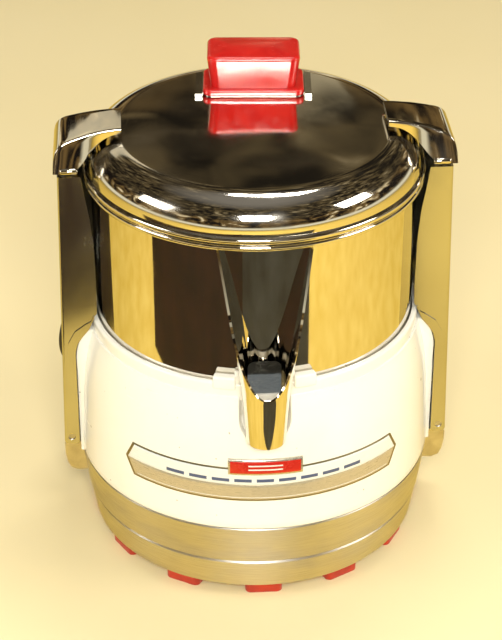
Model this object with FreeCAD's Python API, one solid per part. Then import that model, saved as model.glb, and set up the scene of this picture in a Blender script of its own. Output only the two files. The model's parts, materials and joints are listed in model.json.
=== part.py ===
"""Centrifugal juicer, built as separate pieces in millimetres.

+Z is up and -Y is the front, where the juice spout is. The origin is on the bowl's axis at the
level of the table, under the rubber feet.
"""
import math
import os

import FreeCAD
import Part

V = FreeCAD.Vector
UP = V(0, 0, 1)
CENTRE = V(0, 0, 0)

# ---- driving dimensions ------------------------------------------------------------------------
running_gap = 0.05        # radial gap of a shaft or pin that turns in its hole
sheet = 1.2               # stainless sheet of the spout and the feed chute

# feet
foot_count = 12
foot_circle = 82.0
foot_height = 6.5
foot_width = 20.0
foot_depth = 13.0

# metal skirt under the body
skirt_bottom = foot_height
skirt_top = 49.7
skirt_bottom_radius = 90.7
skirt_groove_radius = 93.9
skirt_groove_height = 25.0
skirt_top_radius = 97.4
skirt_lip_radius = 70.0
skirt_sheet = 1.6
lip_top = skirt_bottom + skirt_sheet

# white body
body_bottom = 50.0
body_radius = 97.5
body_wall = 3.2
body_top = 135.5
deck_bottom = 116.0
deck_top = 120.0
deck_hole_radius = 20.0
pad_face = 96.0
pad_half_width = 19.5
tab_top = 143.0
recess_half_width = 13.0
recess_back = 87.2

# bowl
bowl_radius = 85.6
bowl_sheet = 1.0
bowl_floor = 124.0
bowl_rim_height = 214.4
bowl_rim_bead = 1.6
bowl_collar_radius = 20.5
port_half_width = 8.6
port_bottom = 129.4
port_top = 147.3

# spout
lip_height = 138.8
lip_reach = 109.0
spout_bottom = 108.5
spout_top = 212.5

# lid
lid_top = 238.5
lid_sheet = 1.0
lid_side_radius = 88.2
lid_shoulder = 18.0
lid_bead_radius = 2.0
lid_bead_height = 218.4
lid_turn = -3.3           # the lid is set down a few degrees round from square

# feed chute and pusher
chute_half_width = 26.5
chute_front = 32.5
chute_back = 64.5
chute_bottom = 150.0
pusher_top = 262.0
pusher_bottom = 152.5

# clamps
pivot_x = 102.0
pivot_z = 60.0
arm_half_width = 20.0
arm_sheet = 1.8
arm_bottom = 55.5
arm_top = 221.0
arm_bottom_x = 106.2
arm_top_x = 102.4
pin_radius = 1.9

# rotor
shaft_radius = 6.0
stud_radius = 4.0
basket_floor = 139.2
basket_sheet = 1.5
basket_bottom_radius = 70.0
basket_top_radius = 77.5
basket_rim = 210.4
cutter_radius = 66.0

# motor
stator_bottom = 52.0
stator_top = 90.0
stator_radius = 60.0
rotor_radius = 33.6
air_gap = 0.5
bearing_radius = 14.0
tie_bolt_circle = 51.0
tie_bolt_radius = 2.5

# switch
switch_angle = 152.0
switch_height = 85.0
knob_radius = 19.0
knob_start = 98.6
knob_end = 114.4


# ---- helpers -----------------------------------------------------------------------------------
def polygon(points):
    """Closed flat face through the points."""
    return Part.Face(Part.makePolygon(list(points) + [points[0]]))


def spun(points):
    """Solid of revolution about Z from a closed outline of (radius, height) points."""
    return polygon([V(r, 0, z) for r, z in points]).revolve(CENTRE, UP, 360)


def curve(points):
    """Smooth edge through (radius, height) points."""
    spline = Part.BSplineCurve()
    spline.interpolate([V(r, 0, z) for r, z in points])
    return spline.toShape()


def spun_outline(edges):
    """Solid of revolution about Z from joined edges."""
    return Part.Face(Part.Wire(edges)).revolve(CENTRE, UP, 360)


def line(a, b):
    """Straight edge between two (radius, height) points."""
    return Part.makeLine(V(a[0], 0, a[1]), V(b[0], 0, b[1]))


def cyl(radius, bottom, top, x=0.0, y=0.0):
    """Upright cylinder."""
    return Part.makeCylinder(radius, top - bottom, V(x, y, bottom))


def ring(inner, outer, bottom, top):
    """Upright tube."""
    return cyl(outer, bottom, top).cut(cyl(inner, bottom - 1, top + 1))


def block(x0, x1, y0, y1, z0, z1):
    """Box between two corners."""
    return Part.makeBox(x1 - x0, y1 - y0, z1 - z0, V(x0, y0, z0))


def bead(radius, height, section):
    """Ring of round section about Z."""
    return Part.makeTorus(radius, section, V(0, 0, height))


def side_prism(points, half_width):
    """Prism across the width from an (x, z) outline."""
    face = polygon([V(x, -half_width, z) for x, z in points])
    return face.extrude(V(0, 2 * half_width, 0))


def front_prism(points, y_from, y_to):
    """Prism along Y from an (x, z) outline."""
    face = polygon([V(x, y_from, z) for x, z in points])
    return face.extrude(V(0, y_to - y_from, 0))


def turned(shape, angle, centre=CENTRE, axis=UP):
    """Copy of the shape turned about an axis."""
    copy = shape.copy()
    copy.rotate(centre, axis, angle)
    return copy


def around(shape, count, start=0.0):
    """Copies of the shape spread evenly about Z."""
    return [turned(shape, start + i * 360.0 / count) for i in range(count)]


def mirrored(shape):
    """Copy on the other side of the YZ plane."""
    return shape.mirror(CENTRE, V(1, 0, 0))


def joined(shapes):
    """One solid from overlapping shapes."""
    first = shapes[0]
    return first.multiFuse(shapes[1:]).removeSplitter() if len(shapes) > 1 else first


def upright_edges(shape, x_min=-1e9):
    """Vertical straight edges beyond a given x."""
    found = []
    for edge in shape.Edges:
        a = edge.Vertexes[0].Point
        b = edge.Vertexes[-1].Point
        if abs(a.x - b.x) < 1e-6 and abs(a.y - b.y) < 1e-6 and a.x > x_min:
            found.append(edge)
    return found


def soft_box(x0, x1, y0, y1, z0, z1, radius):
    """Box with rounded upright edges."""
    box = block(x0, x1, y0, y1, z0, z1)
    return box.makeFillet(radius, upright_edges(box))


nodes = {}


def node(name, *shapes):
    """Keep one named piece, which may be a group of separate solids."""
    solids = [s for shape in shapes for s in shape.Solids]
    nodes[name] = solids[0] if len(solids) == 1 else Part.makeCompound(solids)


# ---- feet --------------------------------------------------------------------------------------
neck_radius = 3.0
head_radius = 4.6
head_height = 2.0
foot_corner = 3.0


def foot():
    """Rubber pad with a neck through the skirt's lip and a retaining head above it."""
    pad = soft_box(foot_circle - foot_depth / 2, foot_circle + foot_depth / 2,
                   -foot_width / 2, foot_width / 2, 0, foot_height, foot_corner)
    inside = cyl(skirt_bottom_radius - 1.2, 0, foot_height)
    neck = cyl(neck_radius, foot_height - 1, lip_top + 1, foot_circle)
    head = cyl(head_radius, lip_top, lip_top + head_height, foot_circle)
    return joined([pad.common(inside), neck, head])


for i, one in enumerate(around(foot(), foot_count, -90.0)):
    node("foot_%02d" % (i + 1), one)

# ---- metal skirt, pan and screws ---------------------------------------------------------------
base = spun([
    (skirt_lip_radius, skirt_bottom), (skirt_bottom_radius - 0.8, skirt_bottom),
    (skirt_bottom_radius, skirt_bottom + 0.8), (skirt_groove_radius - 0.3, skirt_groove_height - 1.0),
    (skirt_groove_radius - 1.5, skirt_groove_height - 0.3),
    (skirt_groove_radius - 1.5, skirt_groove_height + 0.3),
    (skirt_groove_radius + 0.3, skirt_groove_height + 1.0), (skirt_top_radius, skirt_top - 0.8),
    (skirt_top_radius - 0.5, skirt_top), (skirt_top_radius - 2.2, skirt_top),
    (skirt_top_radius - 2.2, skirt_top - 1.0), (skirt_groove_radius - 3.1, skirt_groove_height + 1.0),
    (skirt_groove_radius - 3.1, skirt_groove_height - 1.0), (skirt_bottom_radius - 1.8, lip_top),
    (skirt_lip_radius, lip_top)])

pan_radius = 76.0
pan_screw_circle = 73.0
pan_screw_radius = 2.0
pan_top = lip_top + 1.2
body_screw_circle = 83.0
body_screw_radius = 2.5
gland_height = 32.0
gland_radius = 7.0
bracket_screw_radius = 2.0
bracket_screw_y = 9.0
bracket_screw_z = 45.0

neck_hole = cyl(neck_radius + running_gap, 0, lip_top + 1, foot_circle)
pan_screw_hole = cyl(pan_screw_radius + 0.1, 0, pan_top + 1, pan_screw_circle)
body_screw_hole = cyl(body_screw_radius + 0.1, 0, lip_top + 1, body_screw_circle)
cuts = around(neck_hole, foot_count, -90.0)
cuts += around(pan_screw_hole, 6, 15.0)
cuts += around(body_screw_hole, 4, 45.0)
cuts.append(Part.makeCylinder(gland_radius + 0.1, 30, V(0, 80, gland_height), V(0, 1, 0)))
bracket_screw_hole = Part.makeCylinder(bracket_screw_radius + 0.1, 30, V(84, 0, bracket_screw_z),
                                       V(1, 0, 0))
for side in (-1, 1):
    for y in (-bracket_screw_y, bracket_screw_y):
        hole = bracket_screw_hole.copy()
        hole.translate(V(0, y, 0))
        cuts.append(hole if side > 0 else mirrored(hole))
base = base.cut(Part.makeCompound(cuts))
node("base_ring", base)

pan = cyl(pan_radius, lip_top, pan_top)
vents = []
for inner, outer, count in ((24, 40, 12), (46, 62, 18)):
    slot = block(inner, outer, -1.7, 1.7, lip_top - 1, pan_top + 1)
    vents += around(slot, count)
pan = pan.cut(Part.makeCompound(vents + around(pan_screw_hole, 6, 15.0)))
node("bottom_pan", pan)

pan_screw = joined([cyl(pan_screw_radius, skirt_bottom - 1, pan_top + 2.5, pan_screw_circle),
                    cyl(3.8, skirt_bottom - 1.8, skirt_bottom, pan_screw_circle)])
node("pan_screws", *around(pan_screw, 6, 15.0))

body_screw_top = 62.0
body_screw = joined([cyl(body_screw_radius, skirt_bottom - 1, body_screw_top, body_screw_circle),
                     cyl(4.6, skirt_bottom - 2.4, skirt_bottom, body_screw_circle)])
node("body_screws", *around(body_screw, 4, 45.0))

# ---- spout's outer form -----------------------------------------------------------------------
# height, half width and reach of the spout's outer face
spout_sections = [(spout_bottom, 8.9, 107.0), (lip_height, 11.0, lip_reach), (spout_top + 2, 22.9, 118.0)]
spout_inside = 60.0
spout_room_gap = 0.2


def spout_loft(inset):
    """Trough that widens upward, with a round front."""
    wires = []
    for height, half, reach in spout_sections:
        w = half - inset
        front = -(reach - inset)
        centre = front + w
        a = V(-w, -spout_inside, height)
        b = V(-w, centre, height)
        c = V(0, front, height)
        d = V(w, centre, height)
        e = V(w, -spout_inside, height)
        wires.append(Part.Wire([Part.makeLine(a, b), Part.Arc(b, c, d).toShape(), Part.makeLine(d, e),
                                Part.makeLine(e, a)]))
    return Part.makeLoft(wires, True, True)


# ---- white body --------------------------------------------------------------------------------
body_profile = [(body_radius, body_bottom), (97.1, 62.0), (96.4, 80.0), (95.4, 98.0), (93.9, 111.0),
                (92.0, 120.5), (89.9, 128.0)]
rim_step = 0.8
rim_radius = 89.1
rim_round = 1.8
rim_inner = 86.2


def body_skin(offset=0.0):
    """Solid bounded by the body's outer curve, moved out by the offset."""
    points = [(r + offset, z) for r, z in body_profile]
    top = points[-1]
    edges = [curve(points), line(top, (0, top[1])), line((0, top[1]), (0, body_bottom)),
             line((0, body_bottom), points[0])]
    return spun_outline(edges)


cavity = spun([(0, body_bottom - 1), (body_radius - body_wall, body_bottom - 1), (93.9, 66.0), (93.0, 82.0),
               (92.0, 98.0), (90.2, 110.0), (88.0, deck_bottom), (0, deck_bottom)])
collar = spun([(0, 127.5), (rim_radius + rim_step, 127.9), (rim_radius, 128.8),
               (rim_radius, body_top - rim_round), (rim_radius - 0.55, body_top - 0.55),
               (rim_radius - rim_round, body_top), (0, body_top)])
skin = body_skin()
well = cyl(rim_inner, deck_top, tab_top + 2)

pad_outline = [(80, body_bottom), (pad_face, body_bottom), (pad_face, 112.0), (95.4, 116.8), (93.6, 120.6),
               (90.8, 123.6), (86.6, 126.2), (80, 128.0)]
pad = side_prism(pad_outline, pad_half_width)
pad = pad.makeFillet(2.5, upright_edges(pad, pad_face - 1))
pads = [pad, mirrored(pad)]

tab_ring = ring(rim_inner, 90.9, 126.0, tab_top)
wing_ring = ring(rim_inner, 88.2, 126.0, tab_top + 0.6)
tabs = []
for x0, x1, source in ((14.7, 26.4, tab_ring), (10.6, 15.2, wing_ring)):
    top = tab_top + 1
    key = block(x0, x1, -95, -70, 120, top)
    tabs.append(source.common(key))
tabs += [mirrored(tab) for tab in tabs]

backing = block(-17, 17, -96, -83.9, 99, deck_bottom + 1).common(skin)
boss_bottom = body_bottom
boss_top = 68.0
boss = joined([cyl(6.0, boss_bottom, boss_top, body_screw_circle),
               block(body_screw_circle, 94.6, -3, 3, boss_bottom, boss_top)])

shell = joined([skin, collar] + pads)
shell = shell.cut(cavity).cut(well).cut(cyl(deck_hole_radius, deck_bottom - 1, deck_top + 1))
shell = joined([shell, backing] + tabs + around(boss, 4, 45.0))
recess = front_prism([(-recess_half_width, 150), (-recess_half_width, 118), (-12.0, 110), (-9.5, 106),
                      (-5.0, 103.4), (0, 102.6), (5.0, 103.4), (9.5, 106), (12.0, 110),
                      (recess_half_width, 118), (recess_half_width, 150)], -115, -recess_back)
mouth_bottom = 128.2
mouth = block(-recess_half_width + 2.4, recess_half_width - 2.4, -115, -80, mouth_bottom, 150)
body_cuts = [recess.cut(block(-30, 30, -90, -80, mouth_bottom - 0.2, 160)), mouth]
spout_room = spout_loft(-spout_room_gap).common(block(-30, 30, -130, -80, mouth_bottom, 150))
body_cuts.append(spout_room)
boss_hole = cyl(body_screw_radius + 0.05, boss_bottom - 1, body_screw_top + 1, body_screw_circle)
body_cuts += around(boss_hole, 4, 45.0)
tie_bolt_top = deck_top - 0.8
body_cuts += around(cyl(tie_bolt_radius + 0.1, deck_bottom - 1, tie_bolt_top, tie_bolt_circle), 4, 0.0)
switch_way = V(math.cos(math.radians(switch_angle)), math.sin(math.radians(switch_angle)), 0)
switch_point = V(0, 0, switch_height)
bushing_radius = 6.0


def along_switch(start, end, radius):
    """Cylinder on the switch's axis between two distances from the bowl's axis."""
    return Part.makeCylinder(radius, end - start, switch_point + switch_way * start, switch_way)


body_cuts.append(along_switch(80, 110, bushing_radius + 0.1))
shell = shell.cut(Part.makeCompound(body_cuts))
node("housing", shell)

# ---- trim on the front of the body -------------------------------------------------------------
band_bottom = 68.3
band_top = 88.3
band_tip = 72.1
band_corner = 68.2
band_thick = 0.7
plaque_bottom = 84.9
plaque_top = 94.1
plaque_half_width = 19.4
plaque_thick = 1.6
band_mid = (band_bottom + band_top) / 2
band_shape = front_prism([(-band_tip, band_mid), (-band_corner, band_top), (band_corner, band_top),
                          (band_tip, band_mid), (band_corner, band_bottom), (-band_corner, band_bottom)],
                         -110, -40)
band = body_skin(band_thick).cut(skin).common(band_shape)
plaque_shape = front_prism([(-plaque_half_width, plaque_bottom), (plaque_half_width, plaque_bottom),
                            (plaque_half_width, plaque_top), (-plaque_half_width, plaque_top)], -110, -70)
plaque = body_skin(plaque_thick).cut(skin).common(plaque_shape).cut(band)
node("badge_band", band)
node("badge_plaque", plaque)

# ---- bowl, seal and spout ----------------------------------------------------------------------
bowl_inner = bowl_radius - bowl_sheet
bend = 4.0
flange_outer = bowl_radius + 1.6
bowl = spun([
    (bowl_collar_radius - bowl_sheet, bowl_floor), (bowl_radius - bend, bowl_floor),
    (bowl_radius - 1.2, bowl_floor + 1.2), (bowl_radius, bowl_floor + bend),
    (bowl_radius, bowl_rim_height - 1.0), (flange_outer, bowl_rim_height - 0.4),
    (flange_outer, bowl_rim_height + 0.6), (bowl_inner, bowl_rim_height - 0.6),
    (bowl_inner, bowl_floor + bend), (bowl_inner - 0.8, bowl_floor + bowl_sheet + 0.8),
    (bowl_radius - bend, bowl_floor + bowl_sheet), (bowl_collar_radius, bowl_floor + bowl_sheet),
    (bowl_collar_radius, bowl_floor + 7.5), (bowl_collar_radius - bowl_sheet, bowl_floor + 7.5)])
bowl = bowl.fuse(bead(flange_outer + 0.8, bowl_rim_height, bowl_rim_bead)).removeSplitter()
port_round = 4.0
port = block(-port_half_width, port_half_width, -95, -75, port_bottom, port_top)
port_edges = []
for edge in port.Edges:
    a = edge.Vertexes[0].Point
    b = edge.Vertexes[-1].Point
    if abs(a.y - b.y) > 1 and a.z > port_top - 1:
        port_edges.append(edge)
port = port.makeFillet(port_round, port_edges)
bowl = bowl.cut(port)
node("bowl", bowl)
node("bowl_seal", ring(58.0, 66.0, deck_top, bowl_floor))

back_top = 128.6
outer = spout_loft(0.0)
outer = outer.cut(cyl(bowl_radius, 90, 230)).cut(block(-30, 30, -recess_back - 0.4, 0, 90, back_top))
inner = spout_loft(sheet)
inner = inner.cut(block(-30, 30, -recess_back - 0.4 - sheet, 0, 90, back_top + sheet))
slope = (lip_reach - 86.0) / (bowl_rim_height - lip_height)
slant = polygon([V(-40, -lip_reach, lip_height), V(-40, -lip_reach + slope * 120, lip_height + 120),
                 V(-40, -160, lip_height + 120), V(-40, -160, lip_height)]).extrude(V(80, 0, 0))
spout = outer.cut(inner).cut(slant).cut(block(-40, 40, -140, 0, spout_top, spout_top + 20)).cut(shell)
node("spout", spout)

# ---- lid and feed chute ------------------------------------------------------------------------
lid_crown = 0.6
half_turn = math.sqrt(0.5)


def lid_outline(radius, top, shoulder, low):
    """Edges of the lid's curved outline from its centre to its lower side."""
    flat = radius - shoulder
    middle = V(flat + shoulder * half_turn, 0, top - shoulder + shoulder * half_turn)
    crown = Part.Arc(V(0, 0, top + lid_crown), V(flat / 2, 0, top + lid_crown * 0.75), V(flat, 0, top))
    turn = Part.Arc(V(flat, 0, top), middle, V(radius, 0, top - shoulder))
    return [crown.toShape(), turn.toShape(), line((radius, top - shoulder), (radius, low))]


lid_low = lid_bead_height
outer_face = Part.Face(Part.Wire(lid_outline(lid_side_radius, lid_top, lid_shoulder, lid_low)
                                 + [line((lid_side_radius, lid_low), (0, lid_low)),
                                    line((0, lid_low), (0, lid_top + lid_crown))]))
inner_radius = lid_side_radius - lid_sheet
inner_top = lid_top - lid_sheet
inner_low = lid_low - 1
inner_face = Part.Face(Part.Wire(lid_outline(inner_radius, inner_top, lid_shoulder - lid_sheet, inner_low)
                                 + [line((inner_radius, inner_low), (0, inner_low)),
                                    line((0, inner_low), (0, inner_top + lid_crown))]))
lid = outer_face.revolve(CENTRE, UP, 360).cut(inner_face.revolve(CENTRE, UP, 360))
guide_outer = bowl_inner - 0.5
guide = spun([(guide_outer - 1, lid_low - 5.5), (guide_outer, lid_low - 5.5), (guide_outer, lid_low - 0.4),
              (lid_side_radius, lid_low - 0.4), (lid_side_radius, lid_low + 0.6),
              (guide_outer - 1, lid_low + 0.6)])
lid = joined([lid, guide, bead(90.0 - lid_bead_radius, lid_bead_height, lid_bead_radius)])
chute_corner = 4.0
chute_body = soft_box(-chute_half_width, chute_half_width, chute_front, chute_back, chute_bottom,
                      lid_top + 0.8, chute_corner)
chute_room = soft_box(-chute_half_width + sheet, chute_half_width - sheet, chute_front + sheet,
                      chute_back - sheet, chute_bottom - 1, lid_top + 30, chute_corner - sheet)
lid = lid.cut(turned(chute_body, lid_turn))
node("lid_shell", lid)

rail_outer = 31.0
rail_inner = 27.4
rail_back = 60.0
rail_top = lid_top + 2.2
rail_low = lid_top + lid_crown + 0.05
rails = block(-rail_outer, rail_outer, chute_front - 0.5, rail_back, rail_low, rail_top)
rails = rails.cut(block(-rail_inner, rail_inner, 0, rail_back + 1, rail_low - 1, rail_top + 1))
tie = block(-rail_inner - 1, rail_inner + 1, chute_front + 4, rail_back, rail_low, lid_top + 0.8)
tie = tie.cut(chute_room)
chute = joined([chute_body.cut(chute_room), rails, tie])
node("feed_chute", turned(chute, lid_turn))

# ---- pusher ------------------------------------------------------------------------------------
plunger_gap = 0.8
plunger_wall = 2.4
flange_bottom = lid_top + 1.0
flange_top = lid_top + 4.8
grip_half = 22.6
grip_front = 32.9
grip_back = 59.0
plunger = soft_box(-chute_half_width + sheet + plunger_gap, chute_half_width - sheet - plunger_gap,
                   chute_front + sheet + plunger_gap, chute_back - sheet - plunger_gap, pusher_bottom,
                   flange_bottom, chute_corner - sheet - plunger_gap + 0.4)
flange = soft_box(-rail_inner + 0.5, rail_inner - 0.5, chute_front - 1.3, rail_back + 0.6, flange_bottom,
                  flange_top, 3.0)
flange = flange.makeChamfer(0.8, [e for e in flange.Edges if abs(e.CenterOfMass.z - flange_top) < 1e-6])
grip = soft_box(-grip_half, grip_half, grip_front, grip_back, flange_top - 1, pusher_top, 5.0)
grip = grip.makeFillet(2.6, [e for e in grip.Edges if abs(e.CenterOfMass.z - pusher_top) < 1e-6])
pusher = joined([plunger, flange, grip])
pusher_room = soft_box(-grip_half + plunger_wall, grip_half - plunger_wall, grip_front + plunger_wall + 1.4,
                       grip_back - plunger_wall, pusher_bottom - 1, pusher_top - plunger_wall - 1, 2.6)
node("pusher", turned(pusher.cut(pusher_room), lid_turn))

# ---- hinge brackets and pins -------------------------------------------------------------------
lug_radius = 3.2
bracket_half_width = 17.4
bracket_top = 54.6
bracket_outline = [(90, 36.4), (99.5, 35.6), (103.4, 37.4), (105.2, 41.5), (106.2, 47.0), (106.3, 53.0),
                   (105.4, bracket_top), (90, bracket_top)]
lug_outer_x = pivot_x + 1.9
lug = side_prism([(pivot_x - lug_radius, bracket_top - 3), (lug_outer_x, bracket_top - 3),
                  (lug_outer_x, pivot_z), (pivot_x - lug_radius, pivot_z)], bracket_half_width)
knuckle = Part.makeCylinder(lug_radius, 2 * bracket_half_width, V(pivot_x, -bracket_half_width, pivot_z),
                            V(0, 1, 0))
bracket = joined([side_prism(bracket_outline, bracket_half_width), lug, knuckle])
body_limit = spun([(0, skirt_bottom), (skirt_bottom_radius, skirt_bottom),
                   (skirt_groove_radius + 0.3, skirt_groove_height + 1.0),
                   (skirt_top_radius, skirt_top - 0.8), (skirt_top_radius, skirt_top),
                   (body_radius + 0.1, skirt_top), (body_radius - 0.05, 62.0), (0, 62.0)])
pad_limit = block(0, pad_face, -pad_half_width, pad_half_width, skirt_top, 70)
bracket = bracket.cut(body_limit).cut(pad_limit)
pin_end = arm_half_width + 0.1
pin_hole = Part.makeCylinder(pin_radius, 2 * pin_end, V(pivot_x, -pin_end, pivot_z), V(0, 1, 0))
bracket_bolts = []
for y in (-bracket_screw_y, bracket_screw_y):
    shank = Part.makeCylinder(bracket_screw_radius, 14, V(89.5, y, bracket_screw_z), V(1, 0, 0))
    head = Part.makeCylinder(3.8, 2.4, V(89.3, y, bracket_screw_z), V(1, 0, 0))
    bracket = bracket.cut(shank)
    bracket_bolts.append(joined([shank, head]))
bracket = bracket.cut(pin_hole)
node("hinge_bracket_right", bracket)
node("hinge_bracket_left", mirrored(bracket))
node("bracket_screws_right", *bracket_bolts)
node("bracket_screws_left", *[mirrored(bolt) for bolt in bracket_bolts])
node("hinge_pin_right", pin_hole)
node("hinge_pin_left", mirrored(pin_hole))

# ---- clamp arms --------------------------------------------------------------------------------
web_bottom = 63.2
tongue_top = 231.0
arm_lean = (arm_bottom_x - arm_top_x) / (arm_top - arm_bottom)


def arm_face(height):
    """x of the arm's outer face at a height."""
    return arm_bottom_x - arm_lean * (height - arm_bottom)


flange_outline = [(arm_face(arm_bottom + 1.0), arm_bottom + 1.0), (arm_face(arm_top), arm_top),
                  (90.4, arm_top), (88.6, 208.0), (86.6, 196.0), (85.2, 178.0), (84.9, 150.0),
                  (85.2, 139.0), (86.6, 136.8), (89.6, 129.6), (93.4, 124.8), (96.2, 120.4), (97.6, 115.0),
                  (97.8, arm_bottom + 1.0), (98.8, arm_bottom), (arm_face(arm_bottom) - 1.0, arm_bottom)]
flange_slab = side_prism(flange_outline, arm_half_width)
flanges = flange_slab.cut(block(0, 200, -arm_half_width + arm_sheet, arm_half_width - arm_sheet, 0, 300))
web_outline = [(arm_face(web_bottom), web_bottom), (arm_face(arm_top), arm_top),
               (arm_face(arm_top) - arm_sheet, arm_top), (arm_face(web_bottom) - arm_sheet, web_bottom)]
web = side_prism(web_outline, arm_half_width)
tongue = side_prism([(arm_face(arm_top - 4), arm_top - 4), (arm_face(tongue_top), tongue_top),
                     (arm_face(tongue_top) - arm_sheet, tongue_top),
                     (arm_face(arm_top - 4) - arm_sheet, arm_top - 4)], 12.0)
arm = joined([flanges, web])
corners = []
for edge in arm.Edges:
    a = edge.Vertexes[0].Point
    b = edge.Vertexes[-1].Point
    on_face = abs(a.x - arm_face(a.z)) < 0.01 and abs(b.x - arm_face(b.z)) < 0.01
    if on_face and abs(a.z - b.z) > 5 and abs(abs(a.y) - arm_half_width) < 0.01:
        corners.append(edge)
arm = arm.makeFillet(1.5, corners)
joggle_outline = [(arm_face(arm_bottom) - 1.6, arm_bottom + 1.0), (arm_face(112) - 2.6, 112.0),
                  (arm_face(119) - 3.6, 121.0), (97.4, 128.0), (91.6, 132.4), (88.4, 134.2), (87.0, 138.0),
                  (86.6, 136.8), (89.6, 129.6), (93.4, 124.8), (96.2, 120.4), (97.6, 115.0),
                  (97.8, arm_bottom + 1.0), (98.8, arm_bottom), (arm_face(arm_bottom) - 2.4, arm_bottom)]
joggle_step = 0.7
joggle = front_prism(joggle_outline, -arm_half_width - joggle_step, -arm_half_width + 0.5)
arm = joined([arm, tongue, joggle, joggle.mirror(CENTRE, V(0, 1, 0))])
arm = arm.cut(Part.makeCylinder(pin_radius + running_gap, 60, V(pivot_x, -30, pivot_z), V(0, 1, 0)))

# ---- hooks -------------------------------------------------------------------------------------
# x, half width on top, half width of the skirt, top height, height where the skirt starts, lower edge
hook_sections = [(68.6, 12.7, 14.2, 244.4, 242.9, 239.1), (79.5, 13.4, 15.4, 243.2, 240.6, 237.6),
                 (89.5, 14.4, 18.6, 240.6, 235.2, 226.0), (97.5, 15.6, 21.6, 236.6, 228.6, 223.5),
                 (102.4, 17.0, 21.8, 230.6, 226.6, 223.5), (104.4, 18.2, 20.6, 225.4, 224.6, 223.5)]
hook_hollow = [(72.0, 11.2, 12.7, 242.0, 241.2, 230.0), (79.5, 11.9, 13.9, 241.5, 239.0, 226.0),
               (89.0, 12.9, 17.0, 239.0, 233.6, 218.0), (96.4, 14.1, 20.0, 235.2, 227.2, 215.0),
               (102.7, 15.5, 20.2, 228.4, 225.0, 215.0)]


def cap_loft(sections):
    """Pressed cap through (y, z) outlines."""
    wires = []
    for x, top_half, skirt_half, top_z, skirt_z, low in sections:
        points = [V(x, -skirt_half, low), V(x, -skirt_half, skirt_z), V(x, -top_half, top_z),
                  V(x, top_half, top_z), V(x, skirt_half, skirt_z), V(x, skirt_half, low)]
        wires.append(Part.makePolygon(points + [points[0]]))
    return Part.makeLoft(wires, True, True)


rivet_radius = 1.6
rivet_height = 226.8
rivet_y = 7.0
hook = cap_loft(hook_sections).cut(cap_loft(hook_hollow))
tab_curl = [Part.makeCylinder(1.9, 9.2, V(91.4, y, 224.4), V(1, 0, 0)) for y in (-20.4, 20.4)]
hook = joined([hook] + tab_curl).cut(arm)
rivets = []
for y in (-rivet_y, rivet_y):
    shank = Part.makeCylinder(rivet_radius, 4.4, V(99.2, y, rivet_height), V(1, 0, 0))
    inner_head = Part.makeCylinder(2.6, 1.2, V(99.2, y, rivet_height), V(1, 0, 0))
    arm = arm.cut(shank)
    hook = hook.cut(Part.makeCylinder(rivet_radius, 12, V(97, y, rivet_height), V(1, 0, 0)))
    rivets.append(joined([shank, inner_head]))
node("arm_right", arm)
node("arm_left", mirrored(arm))
node("hook_right", hook)
node("hook_left", mirrored(hook))
node("hook_rivets_right", *rivets)
node("hook_rivets_left", *[mirrored(rivet) for rivet in rivets])

# ---- motor: fixed pieces -----------------------------------------------------------------------
stator_bore = rotor_radius + air_gap
bell_wall = 3.0
lower_bell_bottom = 28.0
upper_bell_top = 114.0
hub_radius = 18.0
bearing_height = 8.0
shaft_bore = shaft_radius + running_gap
core = ring(stator_bore, stator_radius, stator_bottom, stator_top)
winding_low = ring(38.0, 53.0, stator_bottom - 15, stator_bottom)
winding_high = ring(38.0, 53.0, stator_top, stator_top + 15)
bolt = cyl(tie_bolt_radius, 24.5, tie_bolt_top - 0.2, tie_bolt_circle)
bolt_room = around(cyl(tie_bolt_radius + 0.3, 0, 130, tie_bolt_circle), 4)
winding_room = around(block(tie_bolt_circle - 4.2, 60, -4.2, 4.2, 0, 130), 4)
node("stator_core", core.cut(Part.makeCompound(bolt_room)))
node("stator_windings", winding_low.cut(Part.makeCompound(winding_room)),
     winding_high.cut(Part.makeCompound(winding_room)))

lower_seat_top = lower_bell_bottom + bearing_height + 1
lower_plate_top = lower_bell_bottom + bell_wall
lower_bell = joined([ring(stator_radius - 4, stator_radius, lower_bell_bottom, stator_bottom),
                     ring(bearing_radius - 2, stator_radius, lower_bell_bottom, lower_plate_top),
                     ring(bearing_radius, hub_radius, lower_bell_bottom, lower_seat_top)])
bell_windows = around(block(24, 44, -5, 5, lower_bell_bottom - 1, lower_plate_top + 1), 8, 22.5)
side_windows = around(block(50, 70, -9, 9, 36, 48), 8, 22.5)
lower_seat = cyl(bearing_radius, lower_bell_bottom + 1, lower_seat_top)
lower_bell = lower_bell.cut(Part.makeCompound(bell_windows + side_windows + bolt_room))
lower_bell = lower_bell.cut(lower_seat)
node("lower_end_bell", lower_bell)
node("lower_bearing", ring(shaft_bore, bearing_radius, lower_bell_bottom + 1, lower_seat_top))

upper_seat_bottom = upper_bell_top - bearing_height - 1
upper_bell = joined([ring(stator_radius - 4, stator_radius, stator_top, upper_bell_top),
                     ring(bearing_radius - 2, stator_radius, upper_bell_top - bell_wall, upper_bell_top),
                     ring(bearing_radius, hub_radius, upper_seat_bottom, upper_bell_top + 3)])
upper_windows = around(block(24, 44, -5, 5, upper_bell_top - bell_wall - 1, upper_bell_top + 1), 8, 22.5)
upper_sides = around(block(50, 70, -9, 9, 94, 106), 8, 22.5)
upper_seat = cyl(bearing_radius, upper_seat_bottom, upper_bell_top - 1)
upper_bell = upper_bell.cut(Part.makeCompound(upper_windows + upper_sides + bolt_room))
upper_bell = upper_bell.cut(upper_seat)
node("upper_end_bell", upper_bell)
node("upper_bearing", ring(shaft_bore, bearing_radius, upper_seat_bottom, upper_bell_top - 1))

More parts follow.
